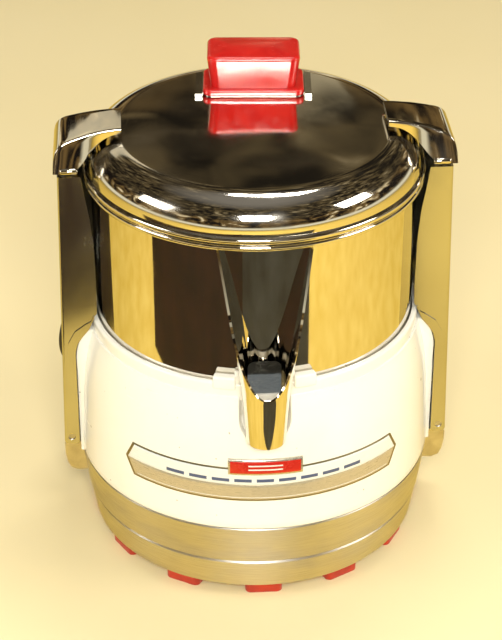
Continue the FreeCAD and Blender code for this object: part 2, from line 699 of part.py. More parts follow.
washer = ring(tie_bolt_radius + 0.3, 6.4, upper_bell_top, deck_bottom)
washer.translate(V(tie_bolt_circle, 0, 0))
node("motor_mounts", *around(washer, 4))
tie_bolt = joined([bolt, cyl(4.4, lower_bell_bottom - 3.4, lower_bell_bottom, tie_bolt_circle)])
node("tie_bolts", *around(tie_bolt, 4))

# ---- capacitor ---------------------------------------------------------------------------------
can_circle = 76.6
can_angle = -45.0 + 22.0
can_radius = 13.5
can_bottom = 30.0
can = joined([cyl(can_radius, can_bottom, can_bottom + 52, can_circle),
              cyl(3.0, can_bottom + 51, can_bottom + 56, can_circle)])
clip = cyl(can_radius + 1.2, 44, 58, can_circle).cut(cyl(can_radius, 40, 60, can_circle))
node("capacitor", turned(can, can_angle))
leg = block(can_circle - can_radius - 1.2, can_circle - can_radius, -5, 5, pan_top, 58)
leg = leg.cut(cyl(can_radius, 0, 70, can_circle))
foot_plate = block(can_circle - can_radius - 1.2, can_circle - can_radius + 9, -5, 5, pan_top, pan_top + 1.2)
node("capacitor_clip", turned(joined([clip, leg, foot_plate]), can_angle))

# ---- switch and cord inlet ---------------------------------------------------------------------
spindle_radius = 3.0
switch_block = block(72, 88, -11, 11, switch_height - 13, switch_height + 13)
switch_block = turned(switch_block, switch_angle)
bushing = along_switch(87.5, 97.6, bushing_radius)
spindle_room = along_switch(84.0, 100, spindle_radius + running_gap)
node("switch_body", joined([switch_block, bushing]).cut(spindle_room))
knob = along_switch(knob_start, knob_end, knob_radius)
rim = []
for edge in knob.Edges:
    along = (edge.CenterOfMass - switch_point).dot(switch_way)
    if edge.Length > 60 and along > knob_end - 1:
        rim.append(edge)
knob = knob.makeFillet(2.2, rim)
grip_cuts = []
for side in (-1, 1):
    cutter = block(knob_end - 9.0, knob_end + 5, -30, 30, 7.0, 40)
    if side < 0:
        cutter = block(knob_end - 9.0, knob_end + 5, -30, 30, -40, -7.0)
    cutter.translate(V(0, 0, switch_height))
    grip_cuts.append(turned(cutter, switch_angle).common(along_switch(knob_end - 9.0, knob_end + 5, 15.6)))
knob = knob.cut(Part.makeCompound(grip_cuts))
spindle = along_switch(84.5, knob_start + 1, spindle_radius)
node("switch_knob", joined([knob, spindle]))

cord_radius = 3.6
gland = joined([Part.makeCylinder(gland_radius, 16, V(0, 86, gland_height), V(0, 1, 0)),
                Part.makeCylinder(9.5, 4, V(0, 95.6, gland_height), V(0, 1, 0)),
                Part.makeCone(6.4, 5.0, 8.2, V(0, 99.6, gland_height), V(0, 1, 0)),
                Part.makeCylinder(9.0, 3.0, V(0, 86.5, gland_height), V(0, 1, 0))])
gland = gland.cut(Part.makeCylinder(cord_radius, 40, V(0, 80, gland_height), V(0, 1, 0))).cut(base)
node("cord_gland", gland)

# ---- rotor -------------------------------------------------------------------------------------
shaft_bottom = 12.0
shaft_shoulder = basket_floor - 0.2
stud_top = 166.0
shaft = joined([cyl(shaft_radius, shaft_bottom, shaft_shoulder),
                cyl(stud_radius, shaft_shoulder - 1, stud_top)])
node("motor_shaft", shaft)
node("rotor_core", ring(shaft_radius, rotor_radius, stator_bottom, stator_top))
fan_bottom = 12.5
fan_top = 20.5
blade = turned(block(9.0, 44.0, -0.8, 0.8, fan_bottom + 1, fan_top), 12, V(9, 0, 0))
fan_parts = [ring(shaft_radius, 10.0, fan_bottom, fan_top), ring(9.0, 44.0, fan_bottom, fan_bottom + 1.4)]
node("cooling_fan", joined(fan_parts + around(blade, 9)))

hub_bottom = 121.6
hub_flange = 134.0
hub = spun([(shaft_radius, hub_bottom), (14.5, hub_bottom), (14.5, hub_flange - 2.0),
            (26.0, hub_flange - 1.0), (26.0, 128.4), (27.6, 128.4), (30.0, hub_flange),
            (30.0, shaft_shoulder), (shaft_radius, shaft_shoulder)])
node("drive_hub", hub)

basket = spun([
    (stud_radius, shaft_shoulder), (basket_bottom_radius - 1, shaft_shoulder),
    (basket_bottom_radius + 1.0, basket_floor + 1.2),
    (basket_top_radius + basket_sheet - 0.3, basket_rim - 1.4), (basket_top_radius + 2.9, basket_rim - 1.4),
    (basket_top_radius + 2.9, basket_rim), (basket_top_radius, basket_rim),
    (basket_bottom_radius - 0.6, basket_floor + basket_sheet + 0.6),
    (basket_bottom_radius - 1.6, basket_floor + basket_sheet),
    (stud_radius, basket_floor + basket_sheet)])
slot_count = 36
strainer_slots = []
for bottom, top in ((148.0, 174.0), (178.0, 204.0)):
    slot = block(66, 84, -0.9, 0.9, bottom, top)
    strainer_slots += around(slot, slot_count)
basket = basket.cut(Part.makeCompound(strainer_slots))
node("strainer_basket", basket)

disc_bottom = basket_floor + basket_sheet
disc_top = disc_bottom + 2.2
tooth = Part.makeCone(1.5, 0.3, 2.0, V(0, 0, disc_top - 0.2))
teeth = []
for radius, count in ((22.0, 8), (32.0, 12), (42.0, 16), (52.0, 20), (60.0, 24)):
    one = tooth.copy()
    one.translate(V(radius, 0, 0))
    teeth += around(one, count, radius)
cutter = joined([ring(stud_radius, cutter_radius, disc_bottom, disc_top)] + teeth)
node("cutter_disc", cutter)

nut_bottom = disc_top
nut = joined([ring(stud_radius, 15.0, nut_bottom, nut_bottom + 3),
              ring(stud_radius, 11.0, nut_bottom, nut_bottom + 16),
              cyl(11.0, nut_bottom + 24, nut_bottom + 26)])
nut = joined([nut, ring(stud_radius + 0.2, 11.0, nut_bottom + 15, nut_bottom + 25)])
wings = [block(-14.5, 14.5, -2.2, 2.2, nut_bottom + 2, nut_bottom + 20).cut(cyl(10.0, 0, 300))]
node("clutch_nut", joined([nut] + wings))

# ---- files -------------------------------------------------------------------------------------
os.makedirs("parts", exist_ok=True)
for name, shape in nodes.items():
    shape.exportStep(os.path.join("parts", name + ".step"))
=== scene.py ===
"""Looks of the centrifugal juicer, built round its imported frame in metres.

+Z is up and -Y is the front, where the spout is. Places come from the frame's boxes; what a box
can't give, such as a rounding or a sheet's thickness, is a named value beside its piece.
"""

import json
import math

import bmesh
import bpy
from mathutils import Matrix, Vector


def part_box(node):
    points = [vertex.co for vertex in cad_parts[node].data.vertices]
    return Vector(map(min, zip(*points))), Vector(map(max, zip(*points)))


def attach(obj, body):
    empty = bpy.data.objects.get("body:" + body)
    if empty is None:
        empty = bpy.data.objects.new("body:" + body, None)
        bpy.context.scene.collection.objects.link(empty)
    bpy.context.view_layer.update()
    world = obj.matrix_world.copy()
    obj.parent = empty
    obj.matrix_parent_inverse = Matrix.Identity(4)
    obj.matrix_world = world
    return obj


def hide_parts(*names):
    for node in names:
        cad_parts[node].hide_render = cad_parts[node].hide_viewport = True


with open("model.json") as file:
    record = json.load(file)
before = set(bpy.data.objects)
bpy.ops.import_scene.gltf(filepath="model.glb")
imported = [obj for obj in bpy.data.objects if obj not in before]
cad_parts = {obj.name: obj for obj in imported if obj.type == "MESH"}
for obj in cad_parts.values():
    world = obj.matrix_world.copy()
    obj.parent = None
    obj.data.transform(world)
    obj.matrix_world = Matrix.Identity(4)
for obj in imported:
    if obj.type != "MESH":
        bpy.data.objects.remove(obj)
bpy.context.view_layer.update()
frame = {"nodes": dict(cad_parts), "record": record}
nodes = frame["nodes"]

MM = 0.001
TURN = 2 * math.pi
FRONT = -math.pi / 2      # angle of the spout about the bowl's axis
ROUND = 288               # segments of a large turned shell


# ---- materials ---------------------------------------------------------------------------------
class Paint:
    """One principled material, with its textures in the object's own metres."""

    def __init__(self, name, metallic=0.0, constants=()):
        self.material = bpy.data.materials.new(name)
        self.material.use_nodes = True
        self.tree = self.material.node_tree
        self.shader = self.tree.nodes["Principled BSDF"]
        self.shader.inputs["Metallic"].default_value = metallic
        for socket, value in dict(constants).items():
            self.shader.inputs[socket].default_value = value
        self.place = self.add("TexCoord").outputs["Object"]
        self.last_bump = None

    def add(self, kind, **settings):
        """New node with its settings."""
        made = self.tree.nodes.new("ShaderNode" + kind)
        for key, value in settings.items():
            setattr(made, key, value)
        return made

    def feed(self, made, socket, value):
        """Link a socket, or set it to a number."""
        if isinstance(value, bpy.types.NodeSocket):
            self.tree.links.new(value, made.inputs[socket])
        else:
            made.inputs[socket].default_value = value

    def sum(self, operation, a, b=0.0, c=0.0):
        """One arithmetic node."""
        made = self.add("Math", operation=operation)
        for i, value in enumerate((a, b, c)):
            self.feed(made, i, value)
        return made.outputs[0]

    def wound(self):
        """(arc about Z, height, radius) of a turned part; its seam is at the back."""
        split = self.add("SeparateXYZ")
        self.feed(split, 0, self.place)
        x, y, z = split.outputs
        arc = self.sum("ARCTAN2", x, self.sum("MULTIPLY", y, -1.0))
        radius = self.sum("SQRT", self.sum("ADD", self.sum("MULTIPLY", x, x), self.sum("MULTIPLY", y, y)))
        made = self.add("CombineXYZ")
        for i, value in enumerate((self.sum("MULTIPLY", arc, 0.09), z, radius)):
            self.feed(made, i, value)
        return made.outputs[0]

    def noise(self, size, detail=3.0, stretch=(1, 1, 1), place=None, roughness=0.5, distortion=0.0):
        """Noise with features of about that size; stretch divides each axis."""
        scaled = self.add("Mapping")
        scaled.inputs["Scale"].default_value = [1.0 / (size * s) for s in stretch]
        self.feed(scaled, 0, place or self.place)
        made = self.add("TexNoise")
        self.feed(made, "Vector", scaled.outputs[0])
        made.inputs["Scale"].default_value = 1.0
        made.inputs["Detail"].default_value = detail
        made.inputs["Roughness"].default_value = roughness
        made.inputs["Distortion"].default_value = distortion
        return made.outputs["Fac"]

    def spread(self, value, low_in, high_in, low_out, high_out):
        """Remap with clamping."""
        made = self.add("MapRange")
        for i, number in enumerate((value, low_in, high_in, low_out, high_out)):
            self.feed(made, i, number)
        return made.outputs[0]

    def blend(self, share, first, second):
        """Colour between two, which may be sockets."""
        made = self.add("Mix", data_type="RGBA")
        self.feed(made, 0, share)
        for socket, value in ((6, first), (7, second)):
            self.feed(made, socket, value if isinstance(value, bpy.types.NodeSocket) else (*value, 1.0))
        return made.outputs[2]

    def mottle(self, noise, tint, shade, start=0.3, end=0.7):
        """Base colour that drifts between two with a noise."""
        self.colour(self.blend(self.spread(noise, start, end, 0, 1), tint, shade))

    def colour(self, value):
        """Base colour."""
        self.feed(self.shader, "Base Color", value)

    def rough(self, value):
        """Roughness."""
        self.feed(self.shader, "Roughness", value)

    def bump(self, height, depth):
        """Relief of that depth, on top of what is there."""
        made = self.add("Bump")
        self.feed(made, "Height", height)
        made.inputs["Distance"].default_value = depth
        if self.last_bump:
            self.feed(made, "Normal", self.last_bump)
        self.last_bump = made.outputs[0]
        self.feed(self.shader, "Normal", self.last_bump)


def polished(name, tint, shade, sheen_low, sheen_high, wave):
    """Mirror-polished stainless sheet: faint waves, wiping marks and fine hairlines."""
    paint = Paint(name, metallic=1.0)
    smear = paint.noise(0.035, 4.0, (1, 1, 2.2), distortion=0.6)
    cloud = paint.noise(0.11, 2.0)
    hair = paint.noise(0.0011, 2.0, (14, 14, 1), paint.wound())
    paint.mottle(cloud, tint, shade)
    film = paint.sum("ADD", paint.spread(smear, 0.42, 0.72, sheen_low, sheen_high),
                     paint.spread(hair, 0.55, 0.8, 0.0, 0.03))
    paint.rough(film)
    paint.bump(cloud, wave)
    paint.bump(hair, 0.000003)
    return paint.material


def brushed(name, tint, shade, grain=0.00022, turned_part=True, gloss=0.2):
    """Satin metal with a fine grain round the part, and some tarnish."""
    paint = Paint(name, metallic=1.0, constants={"Anisotropic": 0.75, "Anisotropic Rotation": 0.25})
    tangent = paint.add("Tangent", direction_type="RADIAL", axis="Z")
    paint.feed(paint.shader, "Tangent", tangent.outputs[0])
    place = paint.wound() if turned_part else paint.place
    stretch = (60, 1, 1) if turned_part else (1, 1, 60)
    lines = paint.noise(grain, 3.0, stretch, place)
    bands = paint.noise(0.0016, 2.0, (40, 1, 1) if turned_part else (1, 1, 30), place)
    stain = paint.noise(0.02, 5.0, (2.5, 1, 1), place, distortion=0.4)
    tone = paint.sum("MULTIPLY", paint.spread(lines, 0.3, 0.7, 0.0, 0.7),
                     paint.spread(bands, 0.2, 0.8, 0.6, 1.0))
    aged = paint.sum("ADD", tone, paint.spread(stain, 0.5, 0.8, 0.0, 0.4))
    paint.colour(paint.blend(aged, tint, shade))
    paint.rough(paint.sum("ADD", paint.spread(lines, 0.2, 0.8, gloss, gloss + 0.14),
                          paint.spread(stain, 0.5, 0.8, 0.0, 0.12)))
    paint.bump(lines, 0.00001)
    paint.bump(bands, 0.000012)
    return paint.material


def enamel(name):
    """Glossy warm-white stove enamel: orange peel, faint yellowing and a few specks and rubs."""
    paint = Paint(name, constants={"Coat Weight": 0.35, "Coat Roughness": 0.05, "IOR": 1.5})
    peel = paint.noise(0.0024, 2.0)
    age = paint.noise(0.06, 3.0, distortion=0.3)
    speck = paint.noise(0.0035, 1.0, roughness=0.4)
    rub = paint.noise(0.004, 3.0, (9, 1, 1), paint.wound())
    clean = paint.blend(paint.spread(age, 0.35, 0.75, 0, 1), (0.90, 0.885, 0.82), (0.86, 0.835, 0.74))
    marked = paint.blend(paint.spread(speck, 0.775, 0.8, 0, 0.8), clean, (0.30, 0.25, 0.19))
    paint.colour(paint.blend(paint.spread(rub, 0.74, 0.82, 0, 0.35), marked, (0.50, 0.45, 0.37)))
    paint.rough(paint.sum("ADD", paint.spread(age, 0.3, 0.7, 0.13, 0.2),
                          paint.spread(rub, 0.66, 0.8, 0.0, 0.2)))
    paint.bump(peel, 0.00002)
    return paint.material


def red_plastic(name):
    """Clear-ish red moulding: deep colour, soft scuffs and a few fine scratches."""
    paint = Paint(name, constants={"Coat Weight": 0.6, "Coat Roughness": 0.06, "IOR": 1.49,
                                   "Subsurface Weight": 0.25, "Subsurface Scale": 0.004})
    paint.shader.inputs["Subsurface Radius"].default_value = (1.0, 0.12, 0.08)
    depth = paint.noise(0.016, 3.0, distortion=0.5)
    scuff = paint.noise(0.006, 5.0, (1, 3, 1), roughness=0.6)
    hair = paint.noise(0.0006, 2.0, (18, 1, 1))
    base = paint.blend(paint.spread(depth, 0.3, 0.7, 0, 1), (0.50, 0.008, 0.008), (0.64, 0.022, 0.016))
    paint.colour(paint.blend(paint.spread(scuff, 0.62, 0.8, 0, 0.35), base, (0.72, 0.13, 0.10)))
    paint.rough(paint.sum("ADD", paint.spread(scuff, 0.4, 0.75, 0.12, 0.3),
                          paint.spread(hair, 0.6, 0.8, 0, 0.1)))
    paint.bump(depth, 0.00006)
    paint.bump(hair, 0.000008)
    return paint.material


def rubber(name, tint, shade):
    """Moulded rubber or soft plastic with a matt, slightly pitted skin."""
    paint = Paint(name, constants={"Specular IOR Level": 0.35, "Sheen Weight": 0.15})
    pit = paint.noise(0.0007, 3.0)
    dust = paint.noise(0.009, 4.0, distortion=0.3)
    paint.mottle(dust, tint, shade, 0.35)
    paint.rough(paint.spread(dust, 0.3, 0.7, 0.48, 0.68))
    paint.bump(pit, 0.00005)
    return paint.material


def moulded(name, tint, shade, gloss=0.3):
    """Hard moulded plastic: a fine spark grain and handling shine."""
    paint = Paint(name, constants={"IOR": 1.5})
    spark = paint.noise(0.00045, 2.0)
    hand = paint.noise(0.012, 3.0)
    paint.mottle(hand, tint, shade)
    paint.rough(paint.spread(hand, 0.3, 0.7, gloss, gloss + 0.16))
    paint.bump(spark, 0.00002)
    return paint.material


def cast(name, tint, shade):
    """Die-cast light alloy: sandy skin, dull patches and polished high spots."""
    paint = Paint(name, metallic=1.0)
    sand = paint.noise(0.0006, 4.0, roughness=0.65)
    patch = paint.noise(0.008, 4.0, distortion=0.4)
    paint.mottle(patch, tint, shade)
    paint.rough(paint.spread(sand, 0.3, 0.7, 0.3, 0.5))
    paint.bump(sand, 0.00004)
    paint.bump(patch, 0.00012)
    return paint.material


def foil(name, tint, shade, rough=0.2, metallic=0.85):
    """Printed metal foil with a fine lengthwise grain and small rubs."""
    paint = Paint(name, metallic=metallic, constants={"Coat Weight": 0.3, "Coat Roughness": 0.12})
    grain = paint.noise(0.00018, 2.0, (40, 1, 1), paint.wound())
    wear = paint.noise(0.005, 4.0, distortion=0.5)
    paint.colour(paint.blend(paint.sum("MULTIPLY", paint.spread(grain, 0.3, 0.7, 0.2, 1.0),
                                       paint.spread(wear, 0.3, 0.8, 0.7, 1.0)), tint, shade))
    paint.rough(paint.sum("ADD", paint.spread(grain, 0.2, 0.8, rough, rough + 0.1),
                          paint.spread(wear, 0.55, 0.8, 0.0, 0.15)))
    paint.bump(grain, 0.000006)
    return paint.material


def coiled(name):
    """Enamelled copper wire wound round the core."""
    paint = Paint(name, metallic=0.9, constants={"Coat Weight": 0.5, "Coat Roughness": 0.15})
    wire = paint.noise(0.0009, 1.0, (80, 1, 1), paint.wound())
    lacquer = paint.noise(0.01, 3.0)
    paint.colour(paint.blend(paint.spread(wire, 0.35, 0.65, 0, 1), (0.30, 0.09, 0.03), (0.72, 0.30, 0.12)))
    paint.rough(paint.spread(lacquer, 0.3, 0.7, 0.25, 0.45))
    paint.bump(wire, 0.0002)
    return paint.material


def stacked(name):
    """Laminated core: thin sheets edge on."""
    paint = Paint(name, metallic=0.8)
    sheets = paint.noise(0.0005, 0.0, (400, 1, 400), paint.wound())
    rust = paint.noise(0.006, 5.0, distortion=0.6)
    paint.colour(paint.blend(paint.spread(rust, 0.5, 0.75, 0, 1), (0.20, 0.20, 0.21), (0.24, 0.12, 0.06)))
    paint.rough(paint.spread(sheets, 0.3, 0.7, 0.35, 0.6))
    paint.bump(sheets, 0.0001)
    return paint.material


# Steel tones: the steel's own pale colour with a painted warm cast, a tint that stands in for warm light and
# warm reflections on the polished bowl, spout and lid
WARM_CAST_STEEL = (0.86, 0.83, 0.77)
WARM_CAST_STEEL_DARK = (0.78, 0.74, 0.66)
looks = {
    "polished_steel": polished("polished_steel", WARM_CAST_STEEL, WARM_CAST_STEEL_DARK, 0.025, 0.075, 0.0004),
    "lid_steel": polished("lid_steel", WARM_CAST_STEEL, WARM_CAST_STEEL_DARK, 0.06, 0.16, 0.0022),
    "hook_chrome": polished("hook_chrome", (0.80, 0.77, 0.70), (0.66, 0.61, 0.52), 0.05, 0.16, 0.0004),
    "chute_steel": polished("chute_steel", (0.88, 0.86, 0.82), (0.80, 0.77, 0.70), 0.1, 0.22, 0.0002),
    "clamp_steel": polished("clamp_steel", (0.66, 0.67, 0.68), (0.52, 0.52, 0.52), 0.16, 0.30, 0.0016),
    "skirt_metal": brushed("skirt_metal", (0.80, 0.79, 0.76), (0.50, 0.47, 0.42), gloss=0.34),
    "pan_steel": brushed("pan_steel", (0.62, 0.61, 0.58), (0.40, 0.39, 0.36)),
    "basket_steel": brushed("basket_steel", (0.82, 0.82, 0.80), (0.62, 0.62, 0.60)),
    "clutch_metal": cast("clutch_metal", (0.74, 0.74, 0.73), (0.55, 0.55, 0.54)),
    "cast_metal": cast("cast_metal", (0.76, 0.73, 0.66), (0.58, 0.54, 0.46)),
    "can_metal": cast("can_metal", (0.70, 0.71, 0.72), (0.58, 0.59, 0.60)),
    "screw_steel": cast("screw_steel", (0.66, 0.64, 0.60), (0.42, 0.40, 0.36)),
    "white_enamel": enamel("white_enamel"),
    "red_plastic": red_plastic("red_plastic"),
    "red_rubber": rubber("red_rubber", (0.50, 0.035, 0.012), (0.36, 0.03, 0.015)),
    "seal_rubber": rubber("seal_rubber", (0.035, 0.033, 0.03), (0.06, 0.055, 0.05)),
    "black_plastic": moulded("black_plastic", (0.012, 0.012, 0.013), (0.022, 0.02, 0.019)),
    "fan_plastic": moulded("fan_plastic", (0.05, 0.05, 0.055), (0.08, 0.08, 0.085)),
    "hub_plastic": moulded("hub_plastic", (0.62, 0.60, 0.54), (0.50, 0.47, 0.40)),
    "lamination_iron": stacked("lamination_iron"),
    "copper_wire": coiled("copper_wire"),
}
pale_foil = foil("pale_foil", (0.86, 0.90, 0.90), (0.74, 0.79, 0.80), 0.25, 0.15)
gold_foil = foil("gold_foil", (0.62, 0.55, 0.40), (0.46, 0.40, 0.28), 0.24, 0.4)
edge_foil = foil("edge_foil", (0.34, 0.30, 0.16), (0.22, 0.18, 0.09), 0.28)
blue_print = foil("blue_print", (0.07, 0.10, 0.21), (0.10, 0.13, 0.25), 0.35, 0.2)
white_print = foil("white_print", (0.85, 0.84, 0.80), (0.72, 0.71, 0.66), 0.3, 0.1)
red_enamel = foil("red_enamel", (0.62, 0.022, 0.012), (0.50, 0.015, 0.01), 0.18, 0.15)
frame_foil = foil("frame_foil", (0.80, 0.76, 0.66), (0.60, 0.55, 0.45), 0.22)


# ---- mesh helpers ------------------------------------------------------------------------------
def polar(radius, angle, height):
    """Point at a radius and an angle about the bowl's axis."""
    return Vector((radius * math.cos(angle), radius * math.sin(angle), height))


def smooth(low_edge, high_edge, value):
    """Smooth step from 0 to 1."""
    t = min(1.0, max(0.0, (value - low_edge) / (high_edge - low_edge)))
    return t * t * (3 - 2 * t)


def rounded(corners, closed=True, steps=6):
    """Outline through (x, y, radius) corners, with an arc at each corner that has a radius."""
    outline = []
    count = len(corners)
    for i, corner in enumerate(corners):
        here = Vector(corner[:2])
        radius = corner[2] if len(corner) > 2 else 0.0
        at_end = not closed and i in (0, count - 1)
        if radius <= 0 or at_end:
            outline.append(tuple(here))
            continue
        back = (Vector(corners[i - 1][:2]) - here).normalized()
        ahead = (Vector(corners[(i + 1) % count][:2]) - here).normalized()
        half = math.acos(max(-1.0, min(1.0, back.dot(ahead)))) / 2
        bisector = (back + ahead).normalized()
        centre = here + bisector * radius / math.sin(half)
        first = here + back * radius / math.tan(half) - centre
        last = here + ahead * radius / math.tan(half) - centre
        sweep = math.atan2(first.x * last.y - first.y * last.x, first.dot(last))
        for k in range(steps + 1):
            turn = sweep * k / steps
            c, s = math.cos(turn), math.sin(turn)
            outline.append((centre.x + first.x * c - first.y * s, centre.y + first.x * s + first.y * c))
    return outline


def bridge(bm, first, second, closed=True):
    """Quads between two rows of vertices."""
    count = len(first)
    for i in range(count if closed else count - 1):
        j = (i + 1) % count
        corners = [first[i], first[j], second[j], second[i]]
        distinct = list(dict.fromkeys(corners))
        if len(distinct) > 2:
            bm.faces.new(distinct)


def skin_rows(bm, rows, closed=True):
    """Quads along successive rows of vertices."""
    for first, second in zip(rows, rows[1:]):
        bridge(bm, first, second, closed)


def turn_round(bm, outline, closed=True, segments=ROUND, shape=None):
    """Revolve (radius, height) points; shape(angle, radius, height) may move a radius."""
    angles = [FRONT + TURN * i / segments for i in range(segments)] if isinstance(segments, int) else segments
    rows = []
    for radius, height in outline:
        if shape:
            rows.append([bm.verts.new(polar(shape(a, radius, height), a, height)) for a in angles])
        else:
            rows.append([bm.verts.new(polar(radius, a, height)) for a in angles])
    for i in range(len(rows) if closed else len(rows) - 1):
        bridge(bm, rows[i], rows[(i + 1) % len(rows)])
    return rows


def loft(bm, rings, cap_first=True, cap_last=True):
    """Skin through closed rings of points."""
    rows = [[bm.verts.new(p) for p in ring] for ring in rings]
    skin_rows(bm, rows)
    if cap_first:
        bm.faces.new(list(reversed(rows[0])))
    if cap_last:
        bm.faces.new(rows[-1])
    return rows


def sector(bm, outline_at, start, end, segments, end_round):
    """Part of a turned ring with rounded ends; outline_at(inset) gives its section."""
    arm = 0.09
    rows = []
    soft = 5
    stops = [(start + end_round / arm * (1 - math.cos(k / soft * math.pi / 2)),
              end_round * (1 - math.sin(k / soft * math.pi / 2))) for k in range(soft)]
    stops += [(start + end_round / arm + (end - start - 2 * end_round / arm) * k / segments, 0.0)
              for k in range(segments + 1)]
    stops += [(end - end_round / arm * (1 - math.cos(k / soft * math.pi / 2)),
               end_round * (1 - math.sin(k / soft * math.pi / 2))) for k in reversed(range(soft))]
    for angle, inset in stops:
        rows.append([polar(r, angle, z) for r, z in outline_at(inset)])
    loft(bm, rows)


def rectangle(x, y, half_x, half_y, corner, steps=8):
    """Rounded rectangle about a point."""
    corner = max(0.00005, min(corner, half_x * 0.98, half_y * 0.98))
    return rounded([(x - half_x, y - half_y, corner), (x + half_x, y - half_y, corner),
                    (x + half_x, y + half_y, corner), (x - half_x, y + half_y, corner)], steps=steps)


def soft_block(bm, centre, half, corner, edge, turn=0.0, crown=0.0, draft=0.0, steps=5, bottom_round=True):
    """Upright block with rounded corners and edges, a slightly domed top and drafted sides."""
    x, y, z = centre
    half_x, half_y, half_z = half
    spin = Matrix.Rotation(turn, 3, "Z")
    rings = []

    def ring(inset, height):
        """One level of the block."""
        slope = draft * (height - z + half_z) / (2 * half_z)
        flat = rectangle(x, y, half_x - inset - slope, half_y - inset - slope, corner - inset * 0.6)
        rings.append([spin @ Vector((px, py, height)) for px, py in flat])

    levels = [(edge * (1 - math.sin(k / steps * math.pi / 2)), edge * (1 - math.cos(k / steps * math.pi / 2)))
              for k in range(steps + 1)]
    if bottom_round:
        for inset, rise in levels:
            ring(inset, z - half_z + rise)
    else:
        ring(0.0, z - half_z)
    for inset, rise in reversed(levels):
        ring(inset, z + half_z - rise - crown)
    for k in range(1, steps + 1):
        share = k / steps
        shrink = min(half_x, half_y) * 0.92 * share
        ring(edge + shrink, z + half_z - crown * (1 - share) ** 2)
    loft(bm, rings)


def piece(name, bm, body, material, sharp=38.0, replaces=()):
    """Finish a mesh as one piece on a body, standing for some nodes."""
    bmesh.ops.remove_doubles(bm, verts=bm.verts, dist=1e-7)
    bmesh.ops.recalc_face_normals(bm, faces=bm.faces)
    mesh = bpy.data.meshes.new(name)
    bm.to_mesh(mesh)
    bm.free()
    mesh.polygons.foreach_set("use_smooth", [True] * len(mesh.polygons))
    mesh.set_sharp_from_angle(angle=math.radians(sharp))
    made = bpy.data.objects.new(name, mesh)
    bpy.context.scene.collection.objects.link(made)
    for one in material if isinstance(material, (list, tuple)) else [material]:
        mesh.materials.append(one)
    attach(made, body)
    if replaces:
        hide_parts(*replaces)
    return made


def thicken(made, thickness, offset=-1.0):
    """Give a skin its sheet thickness."""
    solid = made.modifiers.new("sheet", "SOLIDIFY")
    solid.thickness = thickness
    solid.offset = offset
    solid.use_even_offset = True
    solid.use_rim = True
    return solid


def soften(made, width, segments=2, angle=35.0):
    """Round the sharp edges."""
    bevel = made.modifiers.new("edges", "BEVEL")
    bevel.width = width
    bevel.segments = segments
    bevel.limit_method = "ANGLE"
    bevel.angle_limit = math.radians(angle)
    bevel.harden_normals = True
    return bevel


def settle(made):
    """Apply a piece's modifiers."""
    graph = bpy.context.evaluated_depsgraph_get()
    mesh = bpy.data.meshes.new_from_object(made.evaluated_get(graph))
    made.modifiers.clear()
    made.data = mesh
    return made


def carve(made, cutter):
    """Cut one piece with another, which is used up."""
    cut = made.modifiers.new("cut", "BOOLEAN")
    cut.operation = "DIFFERENCE"
    cut.solver = "EXACT"
    cut.object = cutter
    settle(made)
    bpy.data.objects.remove(cutter)
    return made


def loose(name, bm):
    """Helper object that isn't a piece."""
    bmesh.ops.recalc_face_normals(bm, faces=bm.faces)
    mesh = bpy.data.meshes.new(name)
    bm.to_mesh(mesh)
    bm.free()
    made = bpy.data.objects.new(name, mesh)
    bpy.context.scene.collection.objects.link(made)
    return made


# ---- camera, light and floor -------------------------------------------------------------------
DOME = 3.0                # radius of the room that reflections see


def set_camera():
    """Camera in front, above and a little to the left."""
    azimuth, pitch, distance = math.radians(-3.6), math.radians(31.6), 1.1
    aim = Vector((-0.0015, 0.0001, 0.1194))
    level = math.cos(pitch)
    back = Vector((math.sin(azimuth) * level, -math.cos(azimuth) * level, math.sin(pitch)))
    data = bpy.data.cameras.new("view")
    data.sensor_width = 36.0
    data.lens = 112.6
    camera = bpy.data.objects.new("view", data)
    camera.location = aim + back * distance
    camera.rotation_mode = "QUATERNION"
    camera.rotation_quaternion = (-back).to_track_quat("-Z", "Y")
    data.clip_start = 0.05
    data.clip_end = 60.0
    bpy.context.scene.collection.objects.link(camera)
    bpy.context.scene.camera = camera


def set_light(name, place, aim, size, power, colour):
    """Soft rectangular light."""
    data = bpy.data.lights.new(name, "AREA")
    data.shape = "RECTANGLE"
    data.size, data.size_y = size
    data.energy = power
    data.color = colour
    light = bpy.data.objects.new(name, data)
    light.location = place
    light.rotation_mode = "QUATERNION"
    light.rotation_quaternion = (Vector(aim) - Vector(place)).to_track_quat("-Z", "Y")
    bpy.context.scene.collection.objects.link(light)


def only_reflected(made, paint):
    """Stage a thing that the camera and the shadows don't see."""
    made.data.materials.append(paint.material)
    made.visible_camera = False
    made.visible_diffuse = False
    made.visible_shadow = False


def set_world():
    """Plain pale surroundings."""
    world = bpy.data.worlds.new("studio")
    bpy.context.scene.world = world
    world.use_nodes = True
    backdrop = world.node_tree.nodes["Background"]
    backdrop.inputs["Color"].default_value = (0.88, 0.84, 0.68, 1.0)
    backdrop.inputs["Strength"].default_value = 0.42


